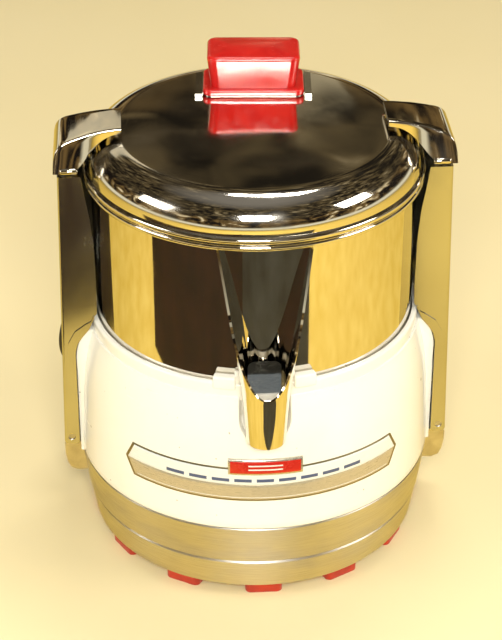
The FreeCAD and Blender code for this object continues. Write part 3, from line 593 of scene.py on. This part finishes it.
def make_dome():
    """Dim room that only reflections see: pale low down, then dark with warm shapes."""
    bm = bmesh.new()
    bmesh.ops.create_icosphere(bm, subdivisions=4, radius=DOME)
    dome = loose("reflection_dome", bm)
    paint = Paint("dome_paint", constants={"Specular IOR Level": 0.0, "Roughness": 1.0,
                                           "Emission Strength": 1.0})
    split = paint.add("SeparateXYZ")
    paint.feed(split, 0, paint.place)
    height = paint.sum("DIVIDE", split.outputs[2], DOME)
    shapes = paint.noise(0.55, 4.0, (1, 1, 1.5), distortion=1.4)
    clouds = paint.noise(0.30, 3.0, distortion=1.6)
    clutter = paint.blend(paint.spread(shapes, 0.46, 0.54, 0, 1), (0.012, 0.009, 0.007),
                          (0.20, 0.125, 0.045))
    clutter = paint.blend(paint.spread(shapes, 0.60, 0.64, 0, 1), clutter, (0.95, 0.80, 0.50))
    ceiling = paint.blend(paint.spread(clouds, 0.44, 0.60, 0, 1), (0.012, 0.010, 0.007),
                          (0.13, 0.095, 0.045))
    ceiling = paint.blend(paint.spread(clouds, 0.63, 0.68, 0, 1), ceiling, (0.42, 0.34, 0.20))
    ceiling = paint.blend(paint.spread(height, 0.86, 0.98, 0, 1), ceiling, (0.22, 0.20, 0.17))
    above = paint.blend(paint.spread(height, 0.40, 0.48, 0, 1), clutter, ceiling)
    paint.feed(paint.shader, "Emission Color",
               paint.blend(paint.spread(height, 0.07, 0.12, 0, 1), (0.90, 0.84, 0.62), above))
    paint.colour((0.0, 0.0, 0.0, 1.0))
    only_reflected(dome, paint)


def make_floor():
    """Plain pale floor."""
    bm = bmesh.new()
    bmesh.ops.create_grid(bm, x_segments=8, y_segments=8, size=12.0)
    floor = loose("floor", bm)
    paint = Paint("floor_paint")
    cloud = paint.noise(0.25, 3.0)
    paint.colour(paint.blend(cloud, (0.80, 0.69, 0.40), (0.84, 0.73, 0.46)))
    paint.rough(paint.spread(cloud, 0.3, 0.7, 0.5, 0.6))
    floor.data.materials.append(paint.material)


def make_card(name, corners, tint, shade):
    """Flat studio card that only reflections see."""
    bm = bmesh.new()
    bm.faces.new([bm.verts.new(p) for p in corners])
    card = loose(name, bm)
    paint = Paint(name + "_paint")
    weave = paint.noise(0.03, 3.0)
    paint.mottle(weave, tint, shade)
    paint.rough(paint.spread(weave, 0.3, 0.7, 0.7, 0.8))
    only_reflected(card, paint)


def standing(left, right, low_z, high_z):
    """Corners of an upright card between two places on the floor."""
    return [(*left, low_z), (*right, low_z), (*right, high_z), (*left, high_z)]


set_camera()
set_world()
make_dome()
make_floor()
set_light("key", (-0.06, -1.35, 1.05), (0, 0, 0.12), (0.45, 0.35), 22.0, (1.0, 0.97, 0.90))
set_light("left_fill", (-1.6, -0.5, 1.0), (0, 0, 0.1), (0.7, 0.5), 8.0, (1.0, 0.95, 0.86))
set_light("right_fill", (1.5, -0.6, 1.1), (0, 0, 0.1), (0.7, 0.5), 12.0, (1.0, 0.94, 0.84))
set_light("back_top", (0.16, 0.50, 1.75), (0, 0, 0.2), (0.55, 0.25), 9.0, (1.0, 0.95, 0.86))
set_light("left_back", (-0.62, 1.75, 1.22), (0, 0, 0.2), (0.9, 0.5), 0.9, (1.0, 0.9, 0.66))
set_light("port_light", (0, -0.060, 0.1370), (0, -0.060, 0.12), (0.06, 0.034), 0.0011, (0.78, 0.88, 0.94))
make_card("dark_card", standing((-0.235, -0.10), (-0.04, -0.235), 0.03, 0.17), (0.022, 0.012, 0.007),
          (0.05, 0.022, 0.012))
make_card("grey_card", standing((-0.045, -0.235), (0.112, -0.206), 0.0, 0.17), (0.045, 0.045, 0.042),
          (0.085, 0.09, 0.09))
make_card("gold_reflector", [(-2, -2, 0.0004), (2, -2, 0.0004), (2, 2, 0.0004), (-2, 2, 0.0004)],
          (0.70, 0.47, 0.06), (0.80, 0.58, 0.12))
bpy.context.scene.view_settings.view_transform = "Standard"


# ---- lid ---------------------------------------------------------------------------------------
LID_TURN = math.radians(-3.3)
SHEET = 1.0 * MM
SHOULDER = 18.0 * MM
LID_BEAD = 2.0 * MM
CHUTE_Y = 48.5 * MM         # middle of the chute and pusher, behind the bowl's axis


def fan_outline(start, target, count):
    """Points of a closed outline in the directions of the target points from its middle."""
    middle = sum((Vector(p) for p in start), Vector((0, 0))) / len(start)
    found = []
    for point in target:
        way = (Vector(point) - middle).normalized()
        best = None
        for a, b in zip(start, start[1:] + start[:1]):
            a, b = Vector(a) - middle, Vector(b) - middle
            edge = b - a
            cross = way.x * edge.y - way.y * edge.x
            if abs(cross) < 1e-12:
                continue
            t = (a.x * edge.y - a.y * edge.x) / cross
            s = (a.x * way.y - a.y * way.x) / cross
            if t > 0 and -1e-9 <= s <= 1 + 1e-9:
                best = t if best is None else min(best, t)
        found.append(middle + way * best)
    return found


def make_lid():
    """Pressed lid: slight crown, round shoulder and a rolled edge, with the hole for the chute."""
    bottom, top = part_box("lid_shell")
    reach = top.x
    side = reach - 1.8 * MM
    flat = side - SHOULDER
    crown_height = 0.6 * MM
    flat_top = top.z - crown_height
    bead_z = flat_top - 20.1 * MM
    spin = Matrix.Rotation(LID_TURN, 2)
    hole_half_x, hole_half_y, hole_corner = 26.9 * MM, 16.4 * MM, 4.2 * MM
    hole = [spin @ Vector(p) for p in rectangle(0, CHUTE_Y, hole_half_x, hole_half_y, hole_corner, 12)]
    angles = [FRONT + TURN * i / ROUND for i in range(ROUND)]

    def crown(x, y):
        """Height of the lid's top."""
        share = min(1.0, math.hypot(x, y) / flat)
        return flat_top + crown_height * (1 - share * share)

    def skin(bm, inset):
        """One face of the sheet, from the hole to the low edge."""
        rim = flat + 0.05 * MM
        circle = [Vector((rim * math.cos(a), rim * math.sin(a))) for a in angles]
        inner = fan_outline(hole, circle, ROUND)
        rows = []
        steps = 26
        for k in range(steps + 1):
            share = (k / steps) ** 1.15
            flat_row = [a.lerp(b, share) for a, b in zip(inner, circle)]
            rows.append([bm.verts.new((p.x, p.y, crown(p.x, p.y) - inset)) for p in flat_row])
        outline = []
        for k in range(1, 33):
            bend = k / 32 * math.pi / 2
            outline.append((flat + (SHOULDER - inset) * math.sin(bend),
                            flat_top - SHOULDER + (SHOULDER - inset) * math.cos(bend)))
        outline.append((side - inset, bead_z + 1.2 * MM))
        for radius, height in outline:
            rows.append([bm.verts.new(polar(radius, a, height)) for a in angles])
        skin_rows(bm, rows)
        return rows

    bm = bmesh.new()
    outside = skin(bm, 0.0)
    inside = skin(bm, SHEET)
    bridge(bm, outside[0], inside[0])
    roll = []
    for k in range(17):
        turn = math.radians(62 - 250 * k / 16)
        roll.append((reach - LID_BEAD + LID_BEAD * math.cos(turn), bead_z + LID_BEAD * math.sin(turn)))
    guide = reach - 5.9 * MM
    roll += [(guide + 0.7 * MM, bead_z - 1.6 * MM), (guide + 0.4 * MM, bottom.z + 0.5 * MM),
             (guide - 0.1 * MM, bottom.z + 0.2 * MM), (guide - 0.5 * MM, bottom.z + 0.6 * MM),
             (guide - 0.5 * MM, bead_z + 1.2 * MM)]
    rows = [outside[-1]]
    for radius, height in roll:
        rows.append([bm.verts.new(polar(radius, a, height)) for a in angles])
    rows.append(inside[-1])
    skin_rows(bm, rows)
    piece("lid_polished", bm, "lid", looks["lid_steel"], 50, ["lid_shell"])


# ---- bowl and spout ----------------------------------------------------------------------------
def make_bowl():
    """Drawn bowl with a rolled rim, a round bottom bend, a centre collar and the juice port."""
    bottom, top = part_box("bowl")
    outer = top.x - 4.0 * MM
    collar = 20.5 * MM
    bead = 1.6 * MM
    bead_centre = top.x - bead
    rim_z = top.z - bead
    outline = rounded([(collar - SHEET, bottom.z, 0.4 * MM), (outer, bottom.z, 4.2 * MM),
                       (outer, rim_z - 1.2 * MM, 0.0)], closed=False, steps=8)
    outline.insert(-1, (outer, 0.5 * (bottom.z + rim_z)))
    outline.append((bead_centre - bead * 0.8, rim_z - bead * 0.75))
    for k in range(13):
        turn = math.radians(-120 + 235 * k / 12)
        outline.append((bead_centre + bead * math.cos(turn), rim_z + bead * math.sin(turn)))
    inner = rounded([(outer - SHEET, rim_z + 0.3 * MM, 0.0), (outer - SHEET, bottom.z + SHEET, 3.2 * MM),
                     (collar, bottom.z + SHEET, 0.8 * MM), (collar, bottom.z + 7.5 * MM, 0.0)],
                    closed=False, steps=8)
    inner.append((collar - SHEET, bottom.z + 7.5 * MM))
    bm = bmesh.new()
    turn_round(bm, outline + inner)
    bowl = piece("bowl_polished", bm, "base", looks["polished_steel"], 40, ["bowl"])
    cutter = bmesh.new()
    half, port_low, port_high, corner = 8.6 * MM, bottom.z + 1.7 * MM, bottom.z + 23.3 * MM, 4.0 * MM
    outline = rounded([(-half, port_low, 0.6 * MM), (half, port_low, 0.6 * MM), (half, port_high, corner),
                       (-half, port_high, corner)])
    loft(cutter, [[Vector((x, -0.095, z)) for x, z in outline], [Vector((x, -0.075, z)) for x, z in outline]])
    carve(bowl, loose("port_cutter", cutter))
    round_normals(bowl, outer, SHEET)


def round_normals(made, outer, sheet):
    """True normals on a shell's two straight walls, so that their reflections stay clean."""
    mesh = made.data
    mesh.set_sharp_from_angle(angle=math.radians(40))
    normals = [Vector(n.vector) for n in mesh.corner_normals]
    for face in mesh.polygons:
        if abs(face.normal.z) > 0.02:
            continue
        for loop in face.loop_indices:
            place = mesh.vertices[mesh.loops[loop].vertex_index].co
            radius = math.hypot(place.x, place.y)
            way = Vector((place.x, place.y, 0)).normalized()
            if abs(radius - outer) < 0.02 * MM and face.normal.dot(way) > 0.9:
                normals[loop] = way
            elif abs(radius - outer + sheet) < 0.02 * MM and face.normal.dot(way) < -0.9:
                normals[loop] = -way
    mesh.normals_split_custom_set([tuple(n) for n in normals])


def make_spout():
    """Folded trough that widens upward from a half-round nozzle, its front cut on a slant."""
    bottom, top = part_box("spout")
    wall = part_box("bowl")[1].x - 4.0 * MM
    sheet = 1.2 * MM
    back_y = -87.6 * MM
    lip_z = bottom.z + 30.3 * MM
    lip_y = -0.109
    ledge_z = bottom.z + 20.1 * MM
    slope = (0.109 - 0.086) / (0.2144 - lip_z)

    def half_width(z):
        """Half width of the trough at a height."""
        if z < lip_z:
            return 8.9 * MM + (z - bottom.z) / (lip_z - bottom.z) * 2.1 * MM
        return 11.0 * MM + (z - lip_z) / (0.2145 - lip_z) * 11.9 * MM

    def reach(z):
        """Distance of the trough's front from the bowl's axis."""
        if z < lip_z:
            return 0.107 + (z - bottom.z) / (lip_z - bottom.z) * 2.0 * MM
        return 0.109 + (z - lip_z) / (0.2145 - lip_z) * 9.0 * MM

    def section(z):
        """Points of the trough's outer face at a height, from the left wall to the right."""
        w, f = half_width(z), reach(z)
        hidden = 0.3 * MM
        back = back_y if z < ledge_z else -math.sqrt(wall ** 2 - w ** 2) + hidden
        centre = -f + w
        straight = 12
        points = [Vector((-w, back + (centre - back) * k / straight, z)) for k in range(straight)]
        arc = 36
        points += [Vector((-w * math.cos(math.pi * k / arc), centre - w * math.sin(math.pi * k / arc), z))
                   for k in range(arc + 1)]
        points += [Vector((w, centre + (back - centre) * k / straight, z)) for k in range(1, straight + 1)]
        return points

    heights = [bottom.z + (ledge_z - 0.05 * MM - bottom.z) * k / 10 for k in range(11)]
    heights += [ledge_z + (top.z - ledge_z) * k / 44 for k in range(45)]
    bm = bmesh.new()
    rows = [[bm.verts.new(p) for p in section(z)] for z in heights]
    skin_rows(bm, rows, closed=False)
    parts = list(bm.verts) + list(bm.edges) + list(bm.faces)
    bmesh.ops.bisect_plane(bm, geom=parts, plane_co=(0, lip_y, lip_z), plane_no=(0, -1, slope),
                           clear_outer=True)
    spout = piece("spout_trough", bm, "base", looks["polished_steel"], 40, ["spout"])
    thicken(spout, sheet)
    soften(spout, 0.45 * MM, 3, 50)
    settle(spout)

    bm = bmesh.new()
    inset = 0.6 * MM
    rows = []
    for height, y in ((bottom.z + 0.2 * MM, back_y), (ledge_z - 6.6 * MM, back_y),
                      (ledge_z - 4.6 * MM, -87.1 * MM), (ledge_z - 3.4 * MM, -85.6 * MM),
                      (ledge_z - 3.0 * MM, -84.2 * MM)):
        half = half_width(height) - inset
        rows.append([bm.verts.new((-half + 2 * half * k / 12, y, height)) for k in range(13)])
    skin_rows(bm, rows, closed=False)
    plate = piece("spout_back_plate", bm, "base", looks["polished_steel"], 40)
    thicken(plate, 0.8 * MM, 0.0)
    settle(plate)


# ---- white body --------------------------------------------------------------------------------
def body_radius(height):
    """Outer radius of the body at a height: a curve through a few rings of the casting."""
    rings = ((50.0, 97.5), (62.0, 97.1), (80.0, 96.4), (98.0, 95.4), (111.0, 93.9), (120.5, 92.0),
             (128.0, 89.9))
    h = height / MM
    last = len(rings) - 1
    i = max(0, min(last - 1, sum(1 for z, _ in rings if z <= h) - 1))
    z0, r0 = rings[i]
    z1, r1 = rings[i + 1]
    after = (r1 - r0) / (z1 - z0)
    before = (r0 - rings[i - 1][1]) / (z0 - rings[i - 1][0]) if i else after
    beyond = (rings[i + 2][1] - r1) / (rings[i + 2][0] - z1) if i + 2 <= last else after
    m0, m1 = (before + after) / 2, (after + beyond) / 2
    span = z1 - z0
    t = (h - z0) / span
    value = ((2 * t ** 3 - 3 * t ** 2 + 1) * r0 + (t ** 3 - 2 * t ** 2 + t) * span * m0
             + (-2 * t ** 3 + 3 * t ** 2) * r1 + (t ** 3 - t ** 2) * span * m1)
    return value * MM


def make_body():
    """Enamelled casting: turned skin, a flat pad each side, a nozzle recess and a stepped rim."""
    bottom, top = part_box("housing")
    pad_face = 97.2 * MM
    pad_half = 19.5 * MM
    recess_back = 87.2 * MM
    recess_half = 13.0 * MM
    skin_top = bottom.z + 78.0 * MM
    rim_top = bottom.z + 85.5 * MM

    def pad_reach(z):
        """x of the side pads' face, which curves inward at the top."""
        if z < 0.110:
            return pad_face
        drop = min(1.0, (z - 0.110) / (18.5 * MM))
        return pad_face - 9.6 * MM * (1 - math.sqrt(max(0.0, 1 - drop ** 2)))

    def recess_half_at(z):
        """Half width of the recess, round at its lower end."""
        if z < 0.1026:
            return -1.0
        rise = min(1.0, (z - 0.1026) / (14.0 * MM))
        return recess_half * math.sqrt(1 - (1 - rise) ** 2)

    def shape(angle, radius, height):
        """Radius of the skin with its pads and recess."""
        if radius < body_radius(height) - 1.0 * MM:
            return radius
        c, s = math.cos(angle), math.sin(angle)
        across = abs(radius * s)
        flat = pad_reach(height) / max(0.2, abs(c))
        fade = smooth(pad_half + 1.2 * MM, pad_half - 1.8 * MM, across)
        pad = radius - 3.0 * MM + (flat - radius + 3.0 * MM) * fade
        blend_size = 0.9 * MM
        out = (radius + pad + math.hypot(radius - pad, blend_size)) / 2 - blend_size / 2 * (1 - fade)
        out = max(radius, out)
        if s < -0.5:
            side = abs(radius * c)
            depth = smooth(recess_half_at(height) + 0.6 * MM, recess_half_at(height) - 0.7 * MM, side)
            out += (min(out, recess_back / max(0.5, -s)) - out) * depth
        return out

    fine = math.radians(0.12)
    angles = []
    turn = FRONT - math.radians(9.6)
    end = turn + TURN
    while turn < end - 1e-6:
        angles.append(turn)
        away = abs(math.remainder(turn - FRONT, TURN))
        side = min(abs(math.remainder(turn - math.radians(d), TURN)) for d in (12, -12, 168, -168))
        turn += fine if away < math.radians(9.5) else math.radians(0.3) if side < math.radians(3.5) \
            else math.radians(1.0)
    wall = 3.2 * MM
    outline = [(body_radius(bottom.z) - wall, bottom.z), (body_radius(bottom.z) - 1.0 * MM, bottom.z),
               (body_radius(bottom.z) - 0.3 * MM, bottom.z + 0.2 * MM)]
    z = bottom.z + 1.0 * MM
    while z < skin_top - 0.01 * MM:
        outline.append((body_radius(z), z))
        z += 3.0 * MM if z < 0.099 else 0.4 * MM
    outline += [(body_radius(skin_top), skin_top), (body_radius(skin_top) - 0.9 * MM, skin_top + 0.4 * MM)]
    well = 86.2 * MM
    deck = bottom.z + 70.0 * MM
    outline += [(well, skin_top + 0.4 * MM), (well, deck), (20.0 * MM, deck), (20.0 * MM, deck - 4.0 * MM),
                (88.0 * MM, deck - 4.0 * MM), (90.2 * MM, 0.110), (92.0 * MM, 0.098), (93.9 * MM, 0.066)]
    bm = bmesh.new()
    turn_round(bm, outline, segments=angles, shape=shape)

    mouth = math.asin(11.2 / 88.0)

    def rim(inset):
        """Section of the stepped rim."""
        return rounded([(well + inset, skin_top - 2.0 * MM + inset, 0.2 * MM),
                        (89.1 * MM - inset, skin_top - 2.0 * MM + inset, 0.2 * MM),
                        (89.1 * MM - inset, rim_top - inset, 1.6 * MM - inset * 0.5),
                        (well + inset, rim_top - inset, 0.5 * MM)], steps=5)

    sector(bm, rim, FRONT + mouth, FRONT + TURN - mouth, 240, 0.5 * MM)

    def lug(outer, high):
        """Section of a lug on the rim."""
        def section(inset):
            return rounded([(well + inset, rim_top - 2.6 * MM + inset, 0.3 * MM),
                            (outer - inset, rim_top - 2.6 * MM + inset, 0.6 * MM),
                            (outer - inset, high - inset, 1.1 * MM - inset * 0.5),
                            (well + inset, high - inset, 0.6 * MM)], steps=4)
        return section

    for side in (-1, 1):
        for inner_x, outer_x, outer, high in ((14.7, 26.0, 90.9 * MM, top.z - 3.6 * MM),
                                              (11.9, 15.6, 88.2 * MM, top.z - 1.0 * MM)):
            stops = sorted(FRONT + side * math.asin(x / 88.5) for x in (inner_x, outer_x))
            sector(bm, lug(outer, high), stops[0], stops[1], 10, 0.9 * MM)
    piece("body_shell", bm, "base", looks["white_enamel"], 42, ["housing"])


# ---- badge -------------------------------------------------------------------------------------
def on_body(x, z, proud):
    """Point on the front of the body at an offset above its skin."""
    radius = body_radius(z) + proud
    return Vector((x, -math.sqrt(radius ** 2 - x ** 2), z))


def decal(name, corners, proud, thick, look, replaces=(), columns=72, edge=0.12 * MM):
    """Thin plate wrapped on the body, between a lower and an upper outline of (x, z) points."""
    lower, upper = corners

    def at(points, x):
        """Height of an outline at x."""
        for (xa, za), (xb, zb) in zip(points, points[1:]):
            if xa - 1e-9 <= x <= xb + 1e-9:
                return za + (zb - za) * (x - xa) / max(1e-9, xb - xa)
        return points[-1][1]

    first_x, last_x = lower[0][0], lower[-1][0]
    stops = sorted({round(x, 7) for x, _ in lower + upper}
                   | {round(first_x + (last_x - first_x) * k / columns, 7) for k in range(columns + 1)})
    bm = bmesh.new()
    rows = 6
    layers = ((0.0, 0.0), (thick - edge, 0.0), (thick, edge))
    grids = []
    for height, inset in layers:
        grid = []
        for x in stops:
            za, zb = at(lower, x), at(upper, x)
            middle = (za + zb) / 2
            half = max(0.0, (zb - za) / 2 - inset)
            grid.append([bm.verts.new(on_body(x, middle - half + 2 * half * k / rows, proud + height))
                         for k in range(rows + 1)])
        grids.append(grid)
    skin_rows(bm, grids[-1], closed=False)
    for a, b in zip(grids, grids[1:]):
        for k in (0, rows):
            bridge(bm, [column[k] for column in a], [column[k] for column in b], closed=False)
        for column in (0, -1):
            bridge(bm, a[column], b[column], closed=False)
    return piece(name, bm, "base", look, 60, replaces)


def stripe(start, end, middle, half):
    """Lower and upper outlines of a straight stripe."""
    return [(start, middle - half), (end, middle - half)], [(start, middle + half), (end, middle + half)]


def make_badge():
    """Printed band with hexagon ends and a raised enamel plaque; both are left without wording."""
    bottom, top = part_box("badge_band")
    plaque_low, plaque_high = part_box("badge_plaque")
    tip = top.x
    corner = tip - 3.9 * MM
    middle = (bottom.z + top.z) / 2
    line = 0.9 * MM

    def hexagon(inset, low_z, high_z):
        """Lower and upper outlines of a band with pointed ends."""
        def reach(z):
            return tip - (tip - corner) * abs(z - middle) / (top.z - middle) - inset * 1.25
        def side(z, other):
            points = [(-reach(z), z), (reach(z), z)]
            if (z - middle) * (other - middle) < 0:
                points = [(-reach(middle), middle)] + points + [(reach(middle), middle)]
            elif abs(z - middle) > abs(other - middle):
                points = [(-reach(other), other)] + points + [(reach(other), other)]
            return points
        return side(low_z, high_z), side(high_z, low_z)

    decal("badge_band_edge", hexagon(0.0, bottom.z, top.z), 0.02 * MM, 0.34 * MM, edge_foil,
          ["badge_band"])
    split = bottom.z + 0.50 * (top.z - bottom.z)
    decal("badge_band_upper", hexagon(line, split, top.z - line), 0.3 * MM, 0.16 * MM, pale_foil)
    decal("badge_band_lower", hexagon(line, bottom.z + line, split), 0.3 * MM, 0.14 * MM, gold_foil)
    decal("badge_pinstripe", hexagon(2.0 * MM, bottom.z + 1.9 * MM, bottom.z + 2.25 * MM), 0.42 * MM,
          0.06 * MM, white_print, edge=0.02 * MM)
    dash_z = bottom.z + 0.63 * (top.z - bottom.z)
    first_dash, pitch, length = -51.0 * MM, 11.6 * MM, 9.0 * MM
    for i in range(9):
        start = first_dash + pitch * i
        decal("badge_blue_dash_%d" % (i + 1), stripe(start, start + length, dash_z, 0.95 * MM),
              0.44 * MM, 0.06 * MM, blue_print, columns=8, edge=0.02 * MM)

    def panel(inset):
        """Outlines of the plaque."""
        half = plaque_high.x - inset
        return ([(-half, plaque_low.z + inset), (half, plaque_low.z + inset)],
                [(-half, plaque_high.z - inset), (half, plaque_high.z - inset)])

    decal("badge_plaque_frame", panel(0.0), 0.1 * MM, 1.35 * MM, frame_foil, ["badge_plaque"],
          columns=24, edge=0.35 * MM)
    decal("badge_plaque_enamel", panel(1.0 * MM), 1.3 * MM, 0.28 * MM, red_enamel, columns=24,
          edge=0.2 * MM)
    bar = (plaque_low.z + plaque_high.z) / 2
    for i, rise in enumerate((-1.15 * MM, 1.15 * MM)):
        decal("badge_plaque_rule_%d" % (i + 1), stripe(-9.0 * MM, 9.0 * MM, bar + rise, 0.4 * MM),
              1.56 * MM, 0.05 * MM, white_print, columns=16, edge=0.02 * MM)



# ---- base --------------------------------------------------------------------------------------
def make_skirt():
    """Spun metal skirt in two tapering bands with a groove between them and a turned-in lip."""
    bottom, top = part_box("base_ring")
    reach = top.x
    groove_z = bottom.z + 18.5 * MM
    groove = reach - 3.5 * MM
    low_reach = reach - 6.7 * MM
    wall = 1.6 * MM
    outline = rounded([
        (70.0 * MM, bottom.z, 0.5 * MM), (low_reach, bottom.z, 1.4 * MM),
        (groove - 0.3 * MM, groove_z - 1.0 * MM, 0.6 * MM),
        (groove - 1.5 * MM, groove_z, 0.35 * MM), (groove + 0.3 * MM, groove_z + 1.0 * MM, 0.6 * MM),
        (reach, top.z - 0.2 * MM, 0.8 * MM), (reach - 2.2 * MM, top.z - 0.2 * MM, 0.3 * MM),
        (reach - 2.4 * MM, top.z - 1.2 * MM, 0.3 * MM), (groove - 3.1 * MM, groove_z + 1.0 * MM, 0.3 * MM),
        (groove - 3.1 * MM, groove_z - 1.0 * MM, 0.3 * MM), (low_reach - 1.9 * MM, bottom.z + wall, 0.6 * MM),
        (70.0 * MM, bottom.z + wall, 0.5 * MM)], steps=5)
    bm = bmesh.new()
    turn_round(bm, outline)
    piece("base_skirt", bm, "base", looks["skirt_metal"], 40, ["base_ring"])


def make_feet():
    """Red rubber pads with soft edges and a retaining neck."""
    for i in range(12):
        name = "foot_%02d" % (i + 1)
        angle = FRONT + TURN * i / 12
        bm = bmesh.new()
        height = 6.5 * MM
        inner, outer = 75.5 * MM, 88.5 * MM
        half = 10.0 * MM
        soft_block(bm, ((inner + outer) / 2, 0, height / 2),
                   ((outer - inner) / 2, half, height / 2), 3.0 * MM, 0.7 * MM, turn=angle)
        spin = Matrix.Rotation(angle, 3, "Z")
        for radius, z0, z1 in ((3.0 * MM, height - 0.5 * MM, height + 2.0 * MM),
                               (4.6 * MM, height + 1.6 * MM, height + 3.6 * MM)):
            rings = []
            for z in (z0, z1):
                rings.append([spin @ (Vector(((inner + outer) / 2, 0, z)) + polar(radius, TURN * k / 20, 0))
                              for k in range(20)])
            loft(bm, rings)
        piece("rubber_" + name, bm, "base", looks["red_rubber"], 40, [name])


# ---- pusher and chute --------------------------------------------------------------------------
def make_pusher():
    """Red moulding: plunger, low flange and a tall grip with soft edges; its underside is closed."""
    bottom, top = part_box("pusher")
    flange_low = top.z - 22.5 * MM
    flange_high = top.z - 18.7 * MM
    bm = bmesh.new()
    soft_block(bm, (0, CHUTE_Y, (bottom.z + flange_low) / 2),
               (24.5 * MM, 14.0 * MM, (flange_low - bottom.z) / 2 + 0.4 * MM),
               2.4 * MM, 0.7 * MM, turn=LID_TURN)
    soft_block(bm, (0, 45.9 * MM, (flange_low + flange_high) / 2),
               (26.9 * MM, 14.7 * MM, (flange_high - flange_low) / 2),
               4.2 * MM, 1.0 * MM, turn=LID_TURN, crown=0.1 * MM)
    soft_block(bm, (0, 46.4 * MM, (flange_high + top.z) / 2 - 0.3 * MM),
               (22.6 * MM, 12.6 * MM, (top.z - flange_high) / 2 + 0.3 * MM), 5.0 * MM, 2.2 * MM,
               turn=LID_TURN, crown=0.7 * MM, draft=-2.4 * MM, steps=8, bottom_round=False)
    piece("pusher_moulding", bm, "pusher_body", looks["red_plastic"], 50, ["pusher"])


# ---- hooks -------------------------------------------------------------------------------------
def flow(values, t):
    """Smooth curve through rows of values, at a fractional row."""
    i = min(int(t), len(values) - 2)
    u = t - i
    before, here = values[max(0, i - 1)], values[i]
    ahead, after = values[i + 1], values[min(len(values) - 1, i + 2)]
    return [0.5 * (2 * b + (c - a) * u + (2 * a - 5 * b + 4 * c - d) * u * u
                   + (3 * b - a - 3 * c + d) * u ** 3)
            for a, b, c, d in zip(before, here, ahead, after)]


def make_hook(side, name):
    """Pressed bright cap: a flat top with a crisp crease, and walls that drop over the arm."""
    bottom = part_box("hook_right")[0]
    # millimetres: distance from the bowl's axis, half width at the crease and at the lower edge,
    # heights of the crease and of the lower edge
    stations = ((68.7, 12.7, 13.0, 244.3, 241.4), (74.0, 12.9, 13.3, 243.9, 240.6),
                (79.5, 13.3, 14.0, 243.2, 237.7), (84.5, 13.9, 15.6, 242.3, 233.0),
                (89.5, 14.6, 18.2, 241.1, 227.2), (93.5, 15.2, 20.2, 240.0, 224.0),
                (97.5, 16.0, 21.0, 238.7, 223.5), (100.6, 16.8, 21.3, 236.8, 223.5),
                (102.8, 17.6, 21.4, 233.9, 223.5), (103.9, 18.6, 21.3, 230.0, 223.5),
                (104.3, 19.6, 21.2, 226.4, 223.5), (104.4, 20.4, 21.0, 223.8, 223.5))
    body, node = ("right_clamp", "hook_right") if side > 0 else ("left_clamp", "hook_left")
    chrome = looks["hook_chrome"]
    bm = bmesh.new()
    rows = []
    steps = 7 * (len(stations) - 1)
    for n in range(steps + 1):
        x, top_half, low_half, top_z, low_z = flow(stations, n * (len(stations) - 1) / steps)
        fold = min(1.1, 0.35 * (top_z - low_z))
        upper = rounded([(-low_half, low_z), (-top_half, top_z, fold), (top_half, top_z, fold),
                         (low_half, low_z)], closed=False, steps=6)
        middle = len(upper) // 2
        foot, bend = upper[:2]
        wall = [(foot[0] + (bend[0] - foot[0]) * k / 6, foot[1] + (bend[1] - foot[1]) * k / 6)
                for k in range(6)]
        left, right = upper[middle - 1], upper[middle]
        flat = [(left[0] + (right[0] - left[0]) * k / 8, left[1] + 0.15 * math.sin(math.pi * k / 8))
                for k in range(1, 8)]
        half_row = wall + upper[1:middle]
        outline = half_row + flat + [(-y, z) for y, z in reversed(half_row)]
        rows.append([bm.verts.new((x * MM * side, y * MM, z * MM)) for y, z in outline])
    skin_rows(bm, rows, closed=False)
    bm.faces.new(rows[0])
    hook = piece(name, bm, body, chrome, 50, [node])
    thicken(hook, 1.2 * MM)
    soften(hook, 0.3 * MM, 2, 50)
    settle(hook)
    for i, y in enumerate((-20.1 * MM, 20.1 * MM)):
        bm = bmesh.new()
        rings = []
        for along, radius in ((91.6, 0.8), (91.8, 1.3), (92.3, 1.6), (96.0, 1.65), (99.9, 1.6), (100.6, 1.3),
                              (100.8, 0.8)):
            turns = [TURN * k / 24 for k in range(24)]
            rings.append([Vector((along * MM * side, y + radius * MM * math.cos(turn),
                                  bottom.z + 1.95 * MM + radius * MM * math.sin(turn))) for turn in turns])
        loft(bm, rings)
        piece("%s_curl_%d" % (name, i + 1), bm, body, chrome, 60)


make_lid()
make_bowl()
make_spout()
make_body()
make_badge()
make_skirt()
make_feet()
make_pusher()
make_hook(1, "hook_cap_right")
make_hook(-1, "hook_cap_left")


# ---- carried-over pieces -----------------------------------------------------------------------
def dress(name, look, edge=0.0):
    """Give a shown CAD node its look, and rounded edges where it has sharp ones."""
    made = nodes[name]
    if not made.material_slots:
        made.data.materials.append(looks[look])
    for slot in made.material_slots:
        slot.material = looks[look]
    if edge:
        weld = made.modifiers.new("weld", "WELD")
        weld.merge_threshold = 0.000002
        soften(made, edge, 2, 35)


for part in frame["record"]["subparts"]:
    if not nodes[part["node"]].hide_render:
        dress(part["node"], part["material_slot"])
